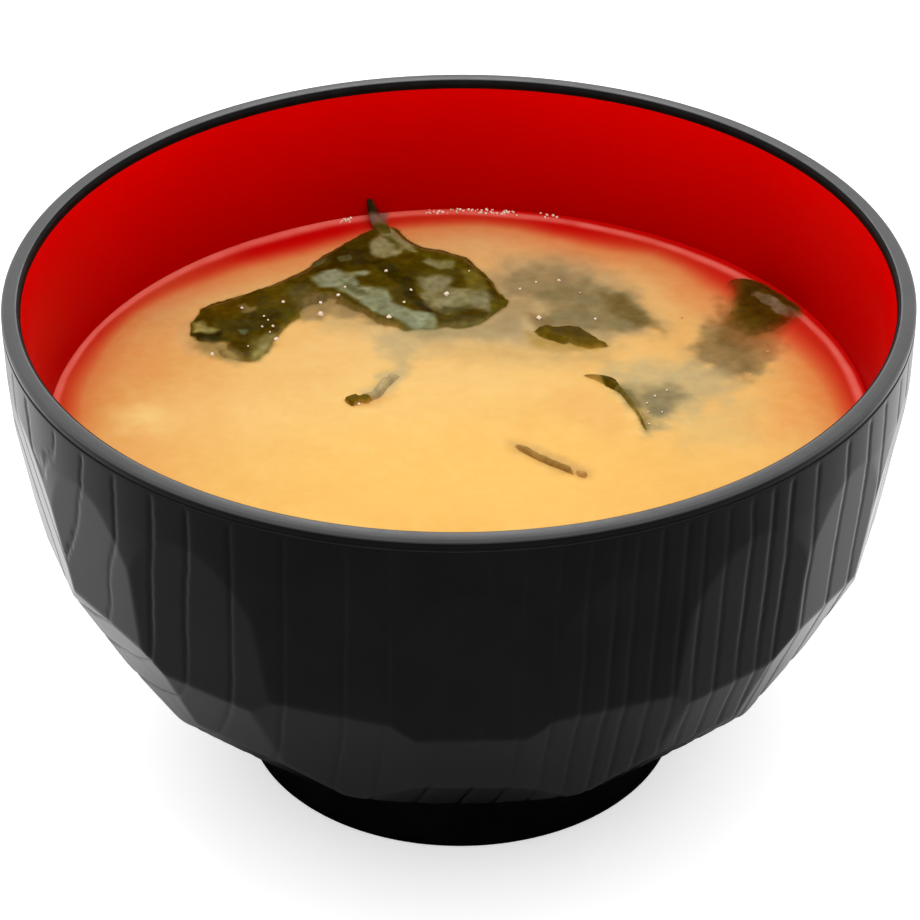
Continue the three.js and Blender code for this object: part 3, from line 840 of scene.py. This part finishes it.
def lip_lacquer():
    """The unpolished black line inside the rim where the red begins."""
    return plain("lip_lacquer", ((0.0015, 0.0012, 0.0012), (0.004, 0.0028, 0.0028), 400, 3),
                 (0.38, 0.55, 500, 2), (0.00001, 900, 2), IOR=1.4, Roughness=0.45, Specular_IOR_Level=0.12)


def foot_shaded_lacquer():
    """The foot's plain, unpolished coat, darker than the body's: painted shade, as the foot stands in the bowl's
    shadow.
    """
    return plain("foot_shaded_lacquer", ((0.0003, 0.00034, 0.0004), (0.0007, 0.00075, 0.0008), 240, 3),
                 (0.32, 0.5, 300, 3), (0.000008, (300, 300, 900), 2), IOR=1.4, Roughness=0.4,
                 Specular_IOR_Level=0.1)


def foam():
    return plain("foam", ((0.8, 0.68, 0.5), (0.95, 0.87, 0.7), 700, 2, 0.5, (0.3, 0.7)),
                 (0.05, 0.15, 1800, 2, (0.3, 0.7)), Roughness=0.08, IOR=1.33)


def crumb():
    return plain("miso_crumb", ((0.5, 0.16, 0.04), (0.72, 0.4, 0.14), 900, 3, 0.5, (0.35, 0.65)),
                 None, (0.00005, 2500, 3), Roughness=0.4, IOR=1.4)


def black_lacquer():
    n = Nodes("black_lacquer")
    n.set(IOR=1.45, Roughness=0.12)
    # the fine bottom of each groove, over the groove that the mesh has: less polished than the rest
    grain = n.math("ADD", n.attribute("grain"), 0.5)
    off = n.math("ABSOLUTE", n.math("SUBTRACT", n.math("FRACT", grain), 0.5))
    off = n.math("MULTIPLY", off, n.attribute("pitch"))
    off = n.math("ADD", off, n.math("MULTIPLY", n.math("SUBTRACT", n.noise(1500, 2), 0.5), 0.16))
    sunk = n.math("MULTIPLY", n.ranged(off, 0.08, 0.34, 1, 0), n.attribute("groove"))
    grooves = n.bump(0.000008, n.math("SUBTRACT", 1.0, sunk))
    return n.set(Base_Color=n.tones((0.0010, 0.0011, 0.0013), (0.0020, 0.0021, 0.0024), 90, 4, 0.6),
                 Roughness=n.math("ADD", n.uneven(0.085, 0.16, 260, 3), n.math("MULTIPLY", sunk, GROOVE_DULL)),
                 Normal=n.bump(0.000006, n.noise((420, 420, 260), 2), Normal=grooves))


def red_lacquer():
    """Deep red, whose reflections stay red too, a little darker lower down with painted shade deep in the bowl."""
    n = Nodes("red_lacquer")
    top = n.tones((0.7, 0.0, 0.0), (0.75, 0.0002, 0.0002), 45, 3, 0.5, (0.3, 0.7))
    # painted shade: darker lower down, towards the soup
    deep = n.ranged(n.axis("Z"), 0.049, 0.0665, 0.0, 1.0, "LINEAR")
    n.set(IOR=1.45, Roughness=0.2, Specular_Tint=(1.0, 0.02, 0.02), Specular_IOR_Level=0.02)
    return n.set(Base_Color=n.mixed(deep, (0.4, 0.0, 0.0), top), Roughness=n.uneven(0.16, 0.28, 300, 3),
                 Normal=n.bump(0.000006, n.noise(380, 2)))


def broth():
    n = Nodes("miso_broth")
    n.set(IOR=1.33, Roughness=0.16, Specular_IOR_Level=0.08)
    paint, milky = n.attribute("paint", "Color"), n.attribute("milky")
    cloud = n.ranged(n.noise((520, 520, 60), 5, 0.62), 0.36, 0.66, 0, 1)
    share = n.math("MULTIPLY", milky, 0.04)
    warm, pale = n.mixed(share, paint, (0.62, 0.2, 0.03)), n.mixed(share, paint, (0.95, 0.78, 0.42))
    speck = n.math("MULTIPLY", milky, n.ranged(n.noise((2600, 2600, 200), 3, 0.7), 0.68, 0.78, 0, 0.22))
    return n.set(Base_Color=n.mixed(speck, n.mixed(cloud, warm, pale), (0.6, 0.32, 0.1)),
                 Normal=n.bump(0.00002, n.noise((420, 420, 100), 4)))


def wakame():
    n = Nodes("wakame")
    n.set(IOR=1.37, Roughness=0.2, Specular_IOR_Level=0.03)
    paint = n.attribute("paint", "Color")
    vein = n.ranged(n.noise((420, 420, 150), 4, 0.55), 0.35, 0.68, 0, 1)
    deep, light = n.mixed(0.22, paint, (0.010, 0.009, 0.0002)), n.mixed(0.1, paint, (0.14, 0.145, 0.006))
    leaf = n.mixed(n.attribute("bare"), paint, n.mixed(vein, deep, light))
    tone = n.uneven(0.86, 1.14, (800, 800, 300), 3, (0.35, 0.66))
    return n.set(Base_Color=n.node("VectorMath", 0, {0: leaf, "Scale": tone}, operation="SCALE"),
                 Roughness=n.uneven(0.12, 0.3, 900, 3, (0.3, 0.7)),
                 Normal=n.bump(0.00002, n.noise((700, 700, 300), 3, 0.55)))


# ---- pieces ----

def place(piece, node, slot_name):
    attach(piece, "root")
    if node:
        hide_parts(node)


# rings over the outer rows: those of the fine groove, then where the rim's and the lip's finishes begin
GROOVE_RINGS, RIM_START, LIP_START = 3, 10, 19
LIP_FINISH, FOOT_FINISH = 2, 4  # their places among the bowl's finishes
GROOVE_VALUES = (("grain", 0.5), ("pitch", 9.0), ("groove", 0.0))  # with what they are away from the outer rows
GROOVE_VALUE_LIMIT = 60


def build_bowl():
    outer, *groove_values = outer_rows()
    rings = [np.array([[0, 0, RECESS_HEIGHT + RECESS_DOME]])] + rings_at(foot_profile()[::-1], AROUND_PLAIN)
    first_outer, after_outer = len(rings), len(rings) + len(outer)
    rings += list(outer) + rings_at(rim_profile() + lip_profile(), AROUND // 2)
    red_start = len(rings) - 1
    rings += rings_at(hollow_profile()[1:], AROUND_PLAIN) + [np.array([[0, 0, FLOOR_HEIGHT]])]
    points, faces, rows = skin(rings)
    starts = [after_outer + RIM_START, after_outer + LIP_START, red_start]
    kinds = np.searchsorted(starts, rows, side="right")
    kinds[(rows >= after_outer) & (rows < after_outer + GROOVE_RINGS)] = LIP_FINISH
    kinds[rows < first_outer] = FOOT_FINISH
    finishes = [black_lacquer(), rim_lacquer(), lip_lacquer(), red_lacquer(), foot_shaded_lacquer()]
    made = add_mesh("bowl_shell", points, faces, finishes, kinds)
    before = sum(len(r) for r in rings[:first_outer])
    for (name, rest), values in zip(GROOVE_VALUES, groove_values):
        whole = np.full(len(points), rest)
        whole[before:before + values.size] = np.clip(values.ravel(), 0, GROOVE_VALUE_LIMIT)
        add_values(made, name, whole)
    place(made, "bowl", "black_lacquer")


def meniscus(away):
    """The height of the soup's surface by the distance from its edge."""
    return SOUP_LEVEL + MENISCUS_RISE * math.exp(-(away / MENISCUS_REACH) ** 1.2)


def build_soup():
    edge = hollow_radius(SOUP_LEVEL + MENISCUS_RISE)
    bottom = FLOOR_HEIGHT + GAP
    below = [(max(radius - GAP, 1), max(height, bottom)) for radius, height in hollow_profile()[::-1]
             if height < SOUP_LEVEL - 1]
    below.append((hollow_radius(SOUP_LEVEL) - GAP, SOUP_LEVEL - 0.4))
    rings = [np.array([[0, 0, bottom]])] + rings_at(below, AROUND_PLAIN // 2)
    rings.append(ring(edge - 0.03, SOUP_LEVEL + MENISCUS_RISE - 0.12, SOUP_AROUND))
    radii = np.concatenate([edge - SOUP_EDGE_STEPS, np.linspace(edge - 1.95, 0.6, SOUP_ROWS)])
    top = rings_at([(radius, meniscus(max(edge - radius, 0))) for radius in radii], SOUP_AROUND)
    top.append(np.array([[0, 0, SOUP_LEVEL]]))
    points, faces, _ = skin(rings + top)
    first = len(points) - sum(len(r) for r in top)
    surface = points[first:]
    flat, away = level(surface), wall_distance(surface)
    ripple = sum(height * value_noise(flat, size, seed) for height, size, seed in SOUP_RIPPLES)
    surface[:, 2] += smooth(0.5, 3.0, away) * ripple
    shown = broth_and_light_colours(surface)
    for name, grid in LEAF_GRIDS.items():
        under = smooth(-0.28, 0.2, depth_inside(surface[:, :2], outline_of(grid)))
        shown, _ = painted(surface, shown, LEAF_LAYERS[name], under * melting(surface, name))
    colours, milky = np.tile(SOUP_INSIDE, (len(points), 1)), np.ones(len(points))
    colours[first:] = shown
    milky[first:] = smooth(0.7, 1.5, away / red_reach(surface))
    made = add_mesh("soup_surface", points, faces, [broth()])
    add_colours(made, "paint", to_linear(colours) * PAINT_GAIN)
    add_values(made, "milky", milky)
    place(made, "soup", "miso_broth")


# the edges of the leaves, (x, y, height over the soup) from end to end, as in the CAD source or close to it
LEAVES = {
    "wakame_folded": {
        "far": [(-36.1, 22.4, 0.4), (-34.7, 26.4, 0.5), (-31.7, 28.5, 0.7), (-28.4, 30.6, 0.6),
                (-23.4, 34.2, 0.8), (-16.5, 43.1, 1.0), (-11.8, 47.8, 1.2), (-9.3, 48.0, 1.2),
                (-5.5, 42.8, 0.9), (-2.0, 41.6, 0.8), (1.5, 38.9, 0.8), (4.3, 33.4, 0.6), (6.9, 28.0, 0.4)],
        "near": [(-35.9, 18.7, 0.4), (-34.4, 14.6, 0.3), (-31.4, 12.7, 0.2), (-26.3, 12.2, 0.2),
                 (-24.0, 17.5, 0.3), (-21.6, 22.5, 0.3), (-18.5, 22.8, 0.2), (-13.3, 21.4, 0.2),
                 (-7.9, 19.9, 0.2), (-2.5, 20.0, 0.2), (2.3, 20.8, 0.3), (6.1, 25.6, 0.4)],
        "grid": (230, 110), "relief": 0.34, "ragged": 0.28, "bevel": 1.8, "melt": 1.25,
    },
    "wakame_back": {
        "far": [(9.4, 22.6, 0.3), (11.7, 27.0, 0.3), (15.3, 30.6, 0.3), (20.1, 31.4, 0.4), (23.9, 27.0, 0.4),
                (26.9, 21.2, 0.3)],
        "near": [(9.8, 20.0, 0.3), (12.1, 17.8, 0.4), (14.7, 16.2, 0.4), (17.4, 15.1, 0.4), (20.3, 15.6, 0.4),
                 (26.8, 19.8, 0.3)],
        "grid": (110, 90), "relief": 0.16, "ragged": 0.28, "bevel": 1.0, "melt": 0.0,
    },
    "wakame_wall": {
        "far": [(35.6, 29.6, 0.4), (37.8, 33.2, 0.8), (40.4, 32.7, 1.0), (43.0, 30.3, 1.0), (45.4, 26.6, 0.8),
                (46.5, 24.0, 0.5)],
        "near": [(34.8, 27.4, 0.3), (34.4, 21.2, 0.3), (37.3, 17.2, 0.2), (41.0, 17.2, 0.2), (44.5, 19.0, 0.3),
                 (46.6, 21.8, 0.4)],
        "grid": (90, 80), "relief": 0.22, "ragged": 0.28, "bevel": 1.9, "melt": 4.2,
    },
    "wakame_fin": {
        "far": [(16.5, 8.9, 0.4), (19.6, 7.7, 0.6), (22.4, 5.6, 0.5), (24.5, 1.1, 0.4), (25.0, -4.0, 0.3)],
        "near": [(16.4, 8.1, 0.4), (18.7, 6.5, 0.5), (20.8, 4.4, 0.5), (22.4, 0.4, 0.4), (23.8, -4.4, 0.3)],
        "grid": (120, 22), "relief": 0.06, "ragged": 0.1, "bevel": 0.45, "melt": 0.0,
    },
    "wakame_curl": {
        "far": [(-15.1, 3.1, 0.4), (-13.8, 3.8, 0.5), (-11.8, 4.4, 0.5), (-10.5, 7.3, 0.4), (-8.9, 9.2, 0.3)],
        "near": [(-14.9, 2.0, 0.4), (-13.6, 1.3, 0.4), (-11.3, 2.1, 0.4), (-9.4, 5.6, 0.3), (-7.8, 8.5, 0.3)],
        "grid": (80, 26), "relief": 0.08, "ragged": 0.1, "bevel": 0.5, "melt": 0.0,
    },
    "wakame_sliver": {
        "far": [(7.2, -7.8, 0.3), (9.6, -9.5, 0.4), (12.1, -11.6, 0.4), (14.3, -13.4, 0.4), (16.3, -14.6, 0.3)],
        "near": [(7.0, -8.7, 0.3), (9.3, -10.8, 0.4), (11.7, -12.9, 0.4), (13.9, -14.5, 0.4),
                 (15.9, -15.5, 0.3)],
        "grid": (90, 14), "relief": 0.05, "ragged": 0.1, "bevel": 0.35, "melt": 0.0,
    },
}
STALK = {
    "far": [(-11.7, 44.6, 0.7), (-12.0, 46.8, 0.9), (-12.6, 49.4, 0.9), (-12.9, 51.2, 1.5), (-13.0, 51.7, 2.6)],
    "near": [(-9.3, 44.8, 0.7), (-9.9, 47.0, 0.9), (-11.0, 49.6, 0.9), (-11.7, 51.4, 1.5), (-12.3, 51.8, 2.6)],
    "grid": (48, 14),
}
# by y: green where the stalk joins the leaf, a grey wet film where it leaves the soup, dark at the tip
STALK_COLOURS = [(44.4, 96, 90, 36), (46.6, 84, 70, 18), (48.2, 140, 112, 98), (49.6, 136, 104, 92),
                 (50.6, 56, 34, 10), (51.9, 34, 22, 8)]
STALK_HALF = 0.36
LEAF_RISE = 0.12  # how high a leaf's top lies over its given height, and the least over the soup
LEAF_FOOT = 0.55  # how far its underside reaches into the soup
LEAF_EDGE = 0.06  # how high its edge lies over the soup
LEAF_DIP = 0.3  # how far it dips under the film


def leaf_grid(edges):
    columns, rows = edges["grid"]
    far, near = spline(edges["far"], columns + 1), spline(edges["near"], columns + 1)
    across = np.linspace(0, 1, rows + 1)[None, :, None]
    return far[:, None, :] * (1 - across) + near[:, None, :] * across


def outline_of(grid):
    flat = grid[..., :2]
    rows = flat.shape[1] - 1
    return np.concatenate([flat[:, 0], flat[-1, 1:], flat[-2::-1, rows], flat[0, rows - 1:0:-1]])[::2]


def edge_distance(grid):
    """How far each point of the grid is from the leaf's outline, roughly, in plan."""
    return np.maximum(depth_inside(grid[..., :2].reshape(-1, 2), outline_of(grid)), 0).reshape(grid.shape[:2])


def sheet(grid, top, bottom):
    """A closed sheet over a grid in plan, by the heights of its two sides over the soup, as points and faces."""
    upper, lower = grid.copy(), grid.copy()
    upper[..., 2], lower[..., 2] = SOUP_LEVEL + top, SOUP_LEVEL + bottom
    count = grid[..., 0].size
    at = np.arange(count).reshape(grid.shape[:2])
    a, b, c, d = (part.ravel() for part in (at[:-1, :-1], at[:-1, 1:], at[1:, 1:], at[1:, :-1]))
    border = np.concatenate([at[:-1, 0], at[-1, :-1], at[:0:-1, -1], at[0, :0:-1]])
    after = np.roll(border, -1)
    faces = [np.stack([a, b, c, d], 1), np.stack([a, d, c, b], 1) + count,
             np.stack([border, after, after + count, border + count], 1)]
    return np.concatenate([upper.reshape(-1, 3), lower.reshape(-1, 3)]), np.concatenate(faces)


def ragged(grid, amount, seed):
    """Moves the outline, and less what lies within it, so that the leaf's edge is uneven."""
    shift = np.stack([fractal(level(grid) + 40 * k, 2.2, seed + 5 * k, 3) for k in range(2)], -1)
    moved = grid.copy()
    moved[..., :2] += amount * shift * np.exp(-edge_distance(grid) / 1.5)[..., None]
    return moved


def melting(points, name):
    """How far the film of soup has closed over a leaf towards its near edge: 1 where it is bare, 0 at the edge."""
    reach = LEAVES[name]["melt"]
    if not reach:
        return np.ones(len(points))
    grid = LEAF_GRIDS[name]
    near = grid[:, -1, :2]
    if name == "wakame_wall":
        near = np.concatenate([grid[0, :-1, :2], near])
    away = np.abs(depth_inside(points[:, :2], np.concatenate([near, near[::-1]])))
    return smooth(0.0, reach, away + 0.35 * value_noise(level(points), 1.8, 66))


def build_leaf(name, index):
    """A wavy sheet that shows above the soup where it is bare, and dips under the film elsewhere."""
    edges, grid = LEAVES[name], LEAF_GRIDS[name]
    inset = edge_distance(grid)
    points = grid.reshape(-1, 3)
    flat = level(points)
    colours, bare = painted(points, broth_and_light_colours(points), LEAF_LAYERS[name], melting(points, name))
    relief = edges["relief"] * (fractal(flat, 4.6, 71 + index, 2) + 0.2 * fractal(flat, 1.3, 81 + index, 2))
    top = np.maximum(grid[..., 2] + LEAF_RISE + relief.reshape(inset.shape), LEAF_RISE)
    top = LEAF_EDGE + (top - LEAF_EDGE) * smooth(-0.1, edges["bevel"], inset)
    out = smooth(0.1, 0.75, bare).reshape(inset.shape)
    points, faces = sheet(grid, top * out - LEAF_DIP * (1 - out), -LEAF_FOOT)
    colours, bare = np.tile(colours, (2, 1)), np.tile(bare, 2)
    if name == "wakame_folded":
        stalk_points, stalk_faces = stalk()
        faces = np.concatenate([faces, stalk_faces + len(points)])
        points = np.concatenate([points, stalk_points])
        colours = np.concatenate([colours, graded(stalk_points[:, 1], STALK_COLOURS)])
        bare = np.concatenate([bare, np.ones(len(stalk_points))])
    made = add_mesh(name + "_leaf", points, faces.tolist(), [WAKAME])
    add_colours(made, "paint", to_linear(colours) * PAINT_GAIN)
    add_values(made, "bare", bare)
    place(made, name, "wakame")


def stalk():
    """The stalk end, which leans on the wall."""
    grid = leaf_grid(STALK)
    half = STALK_HALF * np.sqrt(smooth(-0.08, 0.5, edge_distance(grid)))
    middle = grid[..., 2] + 0.1 * value_noise(grid, 1.2, 91)
    return sheet(grid, middle + half, middle - half)


def ball(segments, rows):
    """A ball of radius 1, from its lowest point up, as points and faces."""
    profile = [(math.cos(a), math.sin(a)) for a in np.radians(np.linspace(-90, 90, rows + 1))[1:-1]]
    points, faces, _ = skin([[(0, 0, -1.0)]] + rings_at(profile, segments) + [[(0, 0, 1.0)]])
    return points, [face[1:] + face[:1] for face in faces]  # which turns the quads' diagonals


def scattered(name, spots, material, squash):
    """One mesh of small rounded bodies, each given as x, y, z, size and a seed for its shape."""
    shape, shape_faces = ball(BALL_SEGMENTS, BALL_ROWS)
    points, faces = [], []
    for x, y, z, size, seed in spots:
        body = shape * [1, 1, squash]
        if seed:
            body = body * (1 + BALL_DENTS * value_noise(shape * 1.5 + seed, 1.0, 95))[:, None]
        faces += [tuple(v + len(points) * len(shape) for v in face) for face in shape_faces]
        points.append(body * size + [x, y, z])
    place(add_mesh(name, np.concatenate(points), faces, [material]), None, "miso_broth")


# bubbles seen on the leaves and on the soup: pixel and radius in millimetres
LEAF_BUBBLES = [
    (320.5, 302.5, 0.26), (320.5, 314, 0.42), (389, 317, 0.42), (446.5, 294, 0.42), (283, 302, 0.28),
    (273, 326, 0.24), (276, 339, 0.34), (212, 354, 0.3), (242, 308, 0.26), (386, 271, 0.3), (411, 290, 0.24),
    (404, 302, 0.22), (338, 295, 0.3), (345, 287, 0.24), (262, 326.5, 0.18), (264, 316, 0.16), (268, 320, 0.16),
    (270, 332, 0.16), (248, 346, 0.14), (469, 271, 0.14),
]
SOUP_BUBBLES = [
    (520, 289, 0.24), (559, 280.5, 0.26), (536, 282, 0.18), (539, 318, 0.42), (595.5, 319, 0.26),
    (580, 293, 0.16), (767.5, 312.5, 0.34), (752, 296, 0.2), (387.6, 377.5, 0.3), (359, 404, 0.24),
    (655, 396, 0.2), (647, 403, 0.16), (667, 390, 0.16), (648, 412, 0.14), (662, 412, 0.16), (649, 424, 0.16),
]
# runs of tiny foam bubbles where the back edge of the soup climbs the wall: from pixel, to pixel, how many
FOAM_RUNS = [((338, 219), (352, 218), 16), ((424, 214), (438, 213), 8), ((438, 213), (519, 214), 58),
             ((536, 217), (562, 220), 9)]
# crumbs of miso: pixel and size in millimetres
CRUMBS = [
    (768, 351, 0.5), (751, 375, 0.55), (771, 346, 0.35), (190, 466, 0.4), (198, 472, 0.35), (635, 294, 0.4),
    (682, 318, 0.3), (717, 420, 0.25), (688, 438, 0.25), (462, 440, 0.28), (448, 458, 0.3), (476, 474, 0.26),
    (470, 431, 0.22),
]
LEAF_BUBBLE_LEVEL, SOUP_BUBBLE_LEVEL = SOUP_LEVEL + 0.75, SOUP_LEVEL + 0.12
# the foam: its nearest place to the wall and how much further it reaches, its least radius and how much it grows
FOAM_NEAREST, FOAM_REACH, FOAM_LEAST, FOAM_GROWTH, FOAM_SEED = 0.1, 0.9, 0.09, 0.14, 7
BALL_SEGMENTS, BALL_ROWS, BALL_DENTS = 12, 8, 0.35
BUBBLE_SQUASH, CRUMB_SQUASH = 0.8, 0.5


def build_bubbles():
    spots = []
    for group, height in ((LEAF_BUBBLES, LEAF_BUBBLE_LEVEL), (SOUP_BUBBLES, SOUP_BUBBLE_LEVEL)):
        for *pixel, size in group:
            x, y = on_plane([pixel], height)[0]
            spots.append((x, y, height, 0.85 * size, 1.7 + len(spots)))
    state = np.random.RandomState(FOAM_SEED)
    wall = hollow_radius(SOUP_LEVEL)
    for start, end, count in FOAM_RUNS:
        ends = on_plane([start, end], SOUP_LEVEL + MENISCUS_RISE)
        first, last = np.arctan2(ends[:, 0], -ends[:, 1]) % (2 * math.pi)
        for _ in range(count):
            angle = first + (last - first) * state.rand()
            near = FOAM_NEAREST + FOAM_REACH * state.rand() ** 1.3
            size = FOAM_LEAST + FOAM_GROWTH * state.rand() ** 2
            x, y = (wall - near) * math.sin(angle), -(wall - near) * math.cos(angle)
            spots.append((x, y, meniscus(near) + 0.3 * size, size, 0))
    scattered("surface_bubbles", spots, foam(), BUBBLE_SQUASH)


def build_crumbs():
    spots = []
    for index, (*pixel, size) in enumerate(CRUMBS):
        x, y = on_plane([pixel], SOUP_LEVEL)[0]
        spots.append((x, y, SOUP_LEVEL - 0.25 * size, size * 0.7, 3.1 + index))
    scattered("miso_crumbs", spots, crumb(), CRUMB_SQUASH)


# ---- studio ----

FLOOR_SIZE, FLOOR_GLOW = 4000.0, 0.45
# how bright the card is round the bowl, from the camera's side (0) over the flanks to the far side (1)
FLAG_STOPS = [(0.0, 0.155), (0.06, 0.16), (0.16, 0.2), (0.305, 0.26), (0.43, 0.45), (0.56, 0.62), (0.69, 0.94),
              (0.8, 1.0), (0.88, 0.6), (0.95, 0.22), (1.0, 0.18)]
FLAG_DARK, FLAG_FULL = 0.0287, 0.054  # metres from the axis: in the shade of the foot, and clear of it
FLAG_SIZE, FLAG_HEIGHT = 420.0, 0.02
STRIP_WIDTH, STRIP_HEIGHT = 700.0, 150.0  # half of each
STRIP_PLACE, STRIP_TILT = (0, 430, 345), -34
# name, place in millimetres, size in metres, power in watts
LIGHTS = [("key_light", (-180, 330, 620), 0.5, 0.75), ("top_light", (120, -160, 700), 0.6, 0.5)]
LIGHT_AIM = (0, 0, 50)
WORLD_STRENGTH = 1.08


def add_card(name, across, up, material, height=0.0):
    """A rectangle, by half of its width and half of its other side."""
    across, up = np.array(across), np.array(up)
    corners = [x * across + y * up + [0, 0, height] for x, y in ((-1, -1), (1, -1), (1, 1), (-1, 1))]
    return add_mesh(name, corners, [(0, 1, 2, 3)], [material])


def glossy_only(made):
    for kind in ("camera", "diffuse", "shadow", "transmission", "volume_scatter"):
        setattr(made, "visible_" + kind, False)


def build_floor():
    paper = plain("floor_paper", ((0.92, 0.92, 0.92), (0.935, 0.935, 0.935), 30, 3, 0.5, (0.3, 0.7)),
                  Roughness=0.9, Emission_Strength=FLOOR_GLOW, Specular_IOR_Level=0.0)
    made = add_card("floor", (FLOOR_SIZE, 0, 0), (0, FLOOR_SIZE, 0), paper)


def build_flag():
    """A graded card on the floor, seen only in the lacquer: dim in front of the bowl and close to its foot, bright
    beside it."""
    n = Nodes("flag_shade", glows=True)
    away = n.node("VectorMath", "Value", {0: n.place()}, operation="LENGTH")
    share = n.math("ADD", n.math("MULTIPLY", n.math("DIVIDE", n.axis("Y"), away), 0.5), 0.5)
    ramp = n.tree.nodes.new("ShaderNodeValToRGB")
    stops = ramp.color_ramp.elements
    while len(stops) < len(FLAG_STOPS):
        stops.new(0.5)
    for stop, (position, level) in zip(stops, FLAG_STOPS):
        stop.position, stop.color = position, (level, level, level, 1.0)
    n.feed(ramp.inputs["Fac"], share)
    clear = n.ranged(away, FLAG_DARK, FLAG_FULL, 0.0, 1.0, "LINEAR")
    shade = n.set(Strength=n.math("MULTIPLY", ramp.outputs["Color"], clear))
    glossy_only(add_card("reflection_flag", (FLAG_SIZE, 0, 0), (0, FLAG_SIZE, 0), shade, FLAG_HEIGHT))


def build_lights():
    for name, place_mm, size, power in LIGHTS:
        light = bpy.data.lights.new(name, "AREA")
        light.size, light.energy = size, power
        made = bpy.data.objects.new(name, light)
        made.location = Vector(place_mm) * MM
        made.rotation_mode = "QUATERNION"
        made.rotation_quaternion = (Vector(LIGHT_AIM) - Vector(place_mm)).to_track_quat("-Z", "Y")
        made.visible_glossy = False
        bpy.context.scene.collection.objects.link(made)


def build_strip():
    """The long softbox behind, which the rim and the wet leaves mirror."""
    n = Nodes("strip_glow", glows=True)
    ends = n.ranged(n.axis("Z"), 0.015, 0.065, 1.25, 0.95)
    glow = n.set(Strength=n.ranged(n.math("ABSOLUTE", n.axis("X")), 0.03, 0.1, 2.2, ends))
    box = add_card("strip_box", (STRIP_WIDTH, 0, 0), (0, 0, STRIP_HEIGHT), glow)
    box.location = Vector(STRIP_PLACE) * MM
    box.rotation_euler = (math.radians(STRIP_TILT), 0, 0)
    glossy_only(box)


def build_world():
    world = bpy.data.worlds.new("studio")
    bpy.context.scene.world = world
    world.use_nodes = True
    background = world.node_tree.nodes["Background"]
    background.inputs["Color"].default_value = (1.0, 1.0, 1.0, 1.0)
    background.inputs["Strength"].default_value = WORLD_STRENGTH


def build_camera():
    camera = bpy.data.cameras.new("camera")
    camera.sensor_width = SENSOR_MM
    camera.lens = FOCAL_PIXELS * SENSOR_MM / PICTURE_SIZE
    camera.clip_start, camera.clip_end = 0.01, 20.0
    made = bpy.data.objects.new("camera", camera)
    forward, right, up = camera_axes()
    turned = Matrix([list(right), list(up), list(-forward)]).transposed() @ Matrix.Rotation(CAMERA_ROLL, 3, "Z")
    made.matrix_world = Matrix.Translation(Vector(CAMERA_PLACE) * MM) @ turned.to_4x4()
    bpy.context.scene.collection.objects.link(made)
    bpy.context.scene.camera = made


build_camera()
build_world()
build_floor()
build_flag()
build_lights()
build_strip()
build_bowl()
LEAF_GRIDS = {name: ragged(leaf_grid(edges), edges["ragged"], 61 + index)
              for index, (name, edges) in enumerate(LEAVES.items())}
build_soup()
WAKAME = wakame()
for leaf_index, leaf_name in enumerate(LEAVES):
    build_leaf(leaf_name, leaf_index)
build_bubbles()
build_crumbs()
bpy.context.scene.view_settings.view_transform = "Standard"
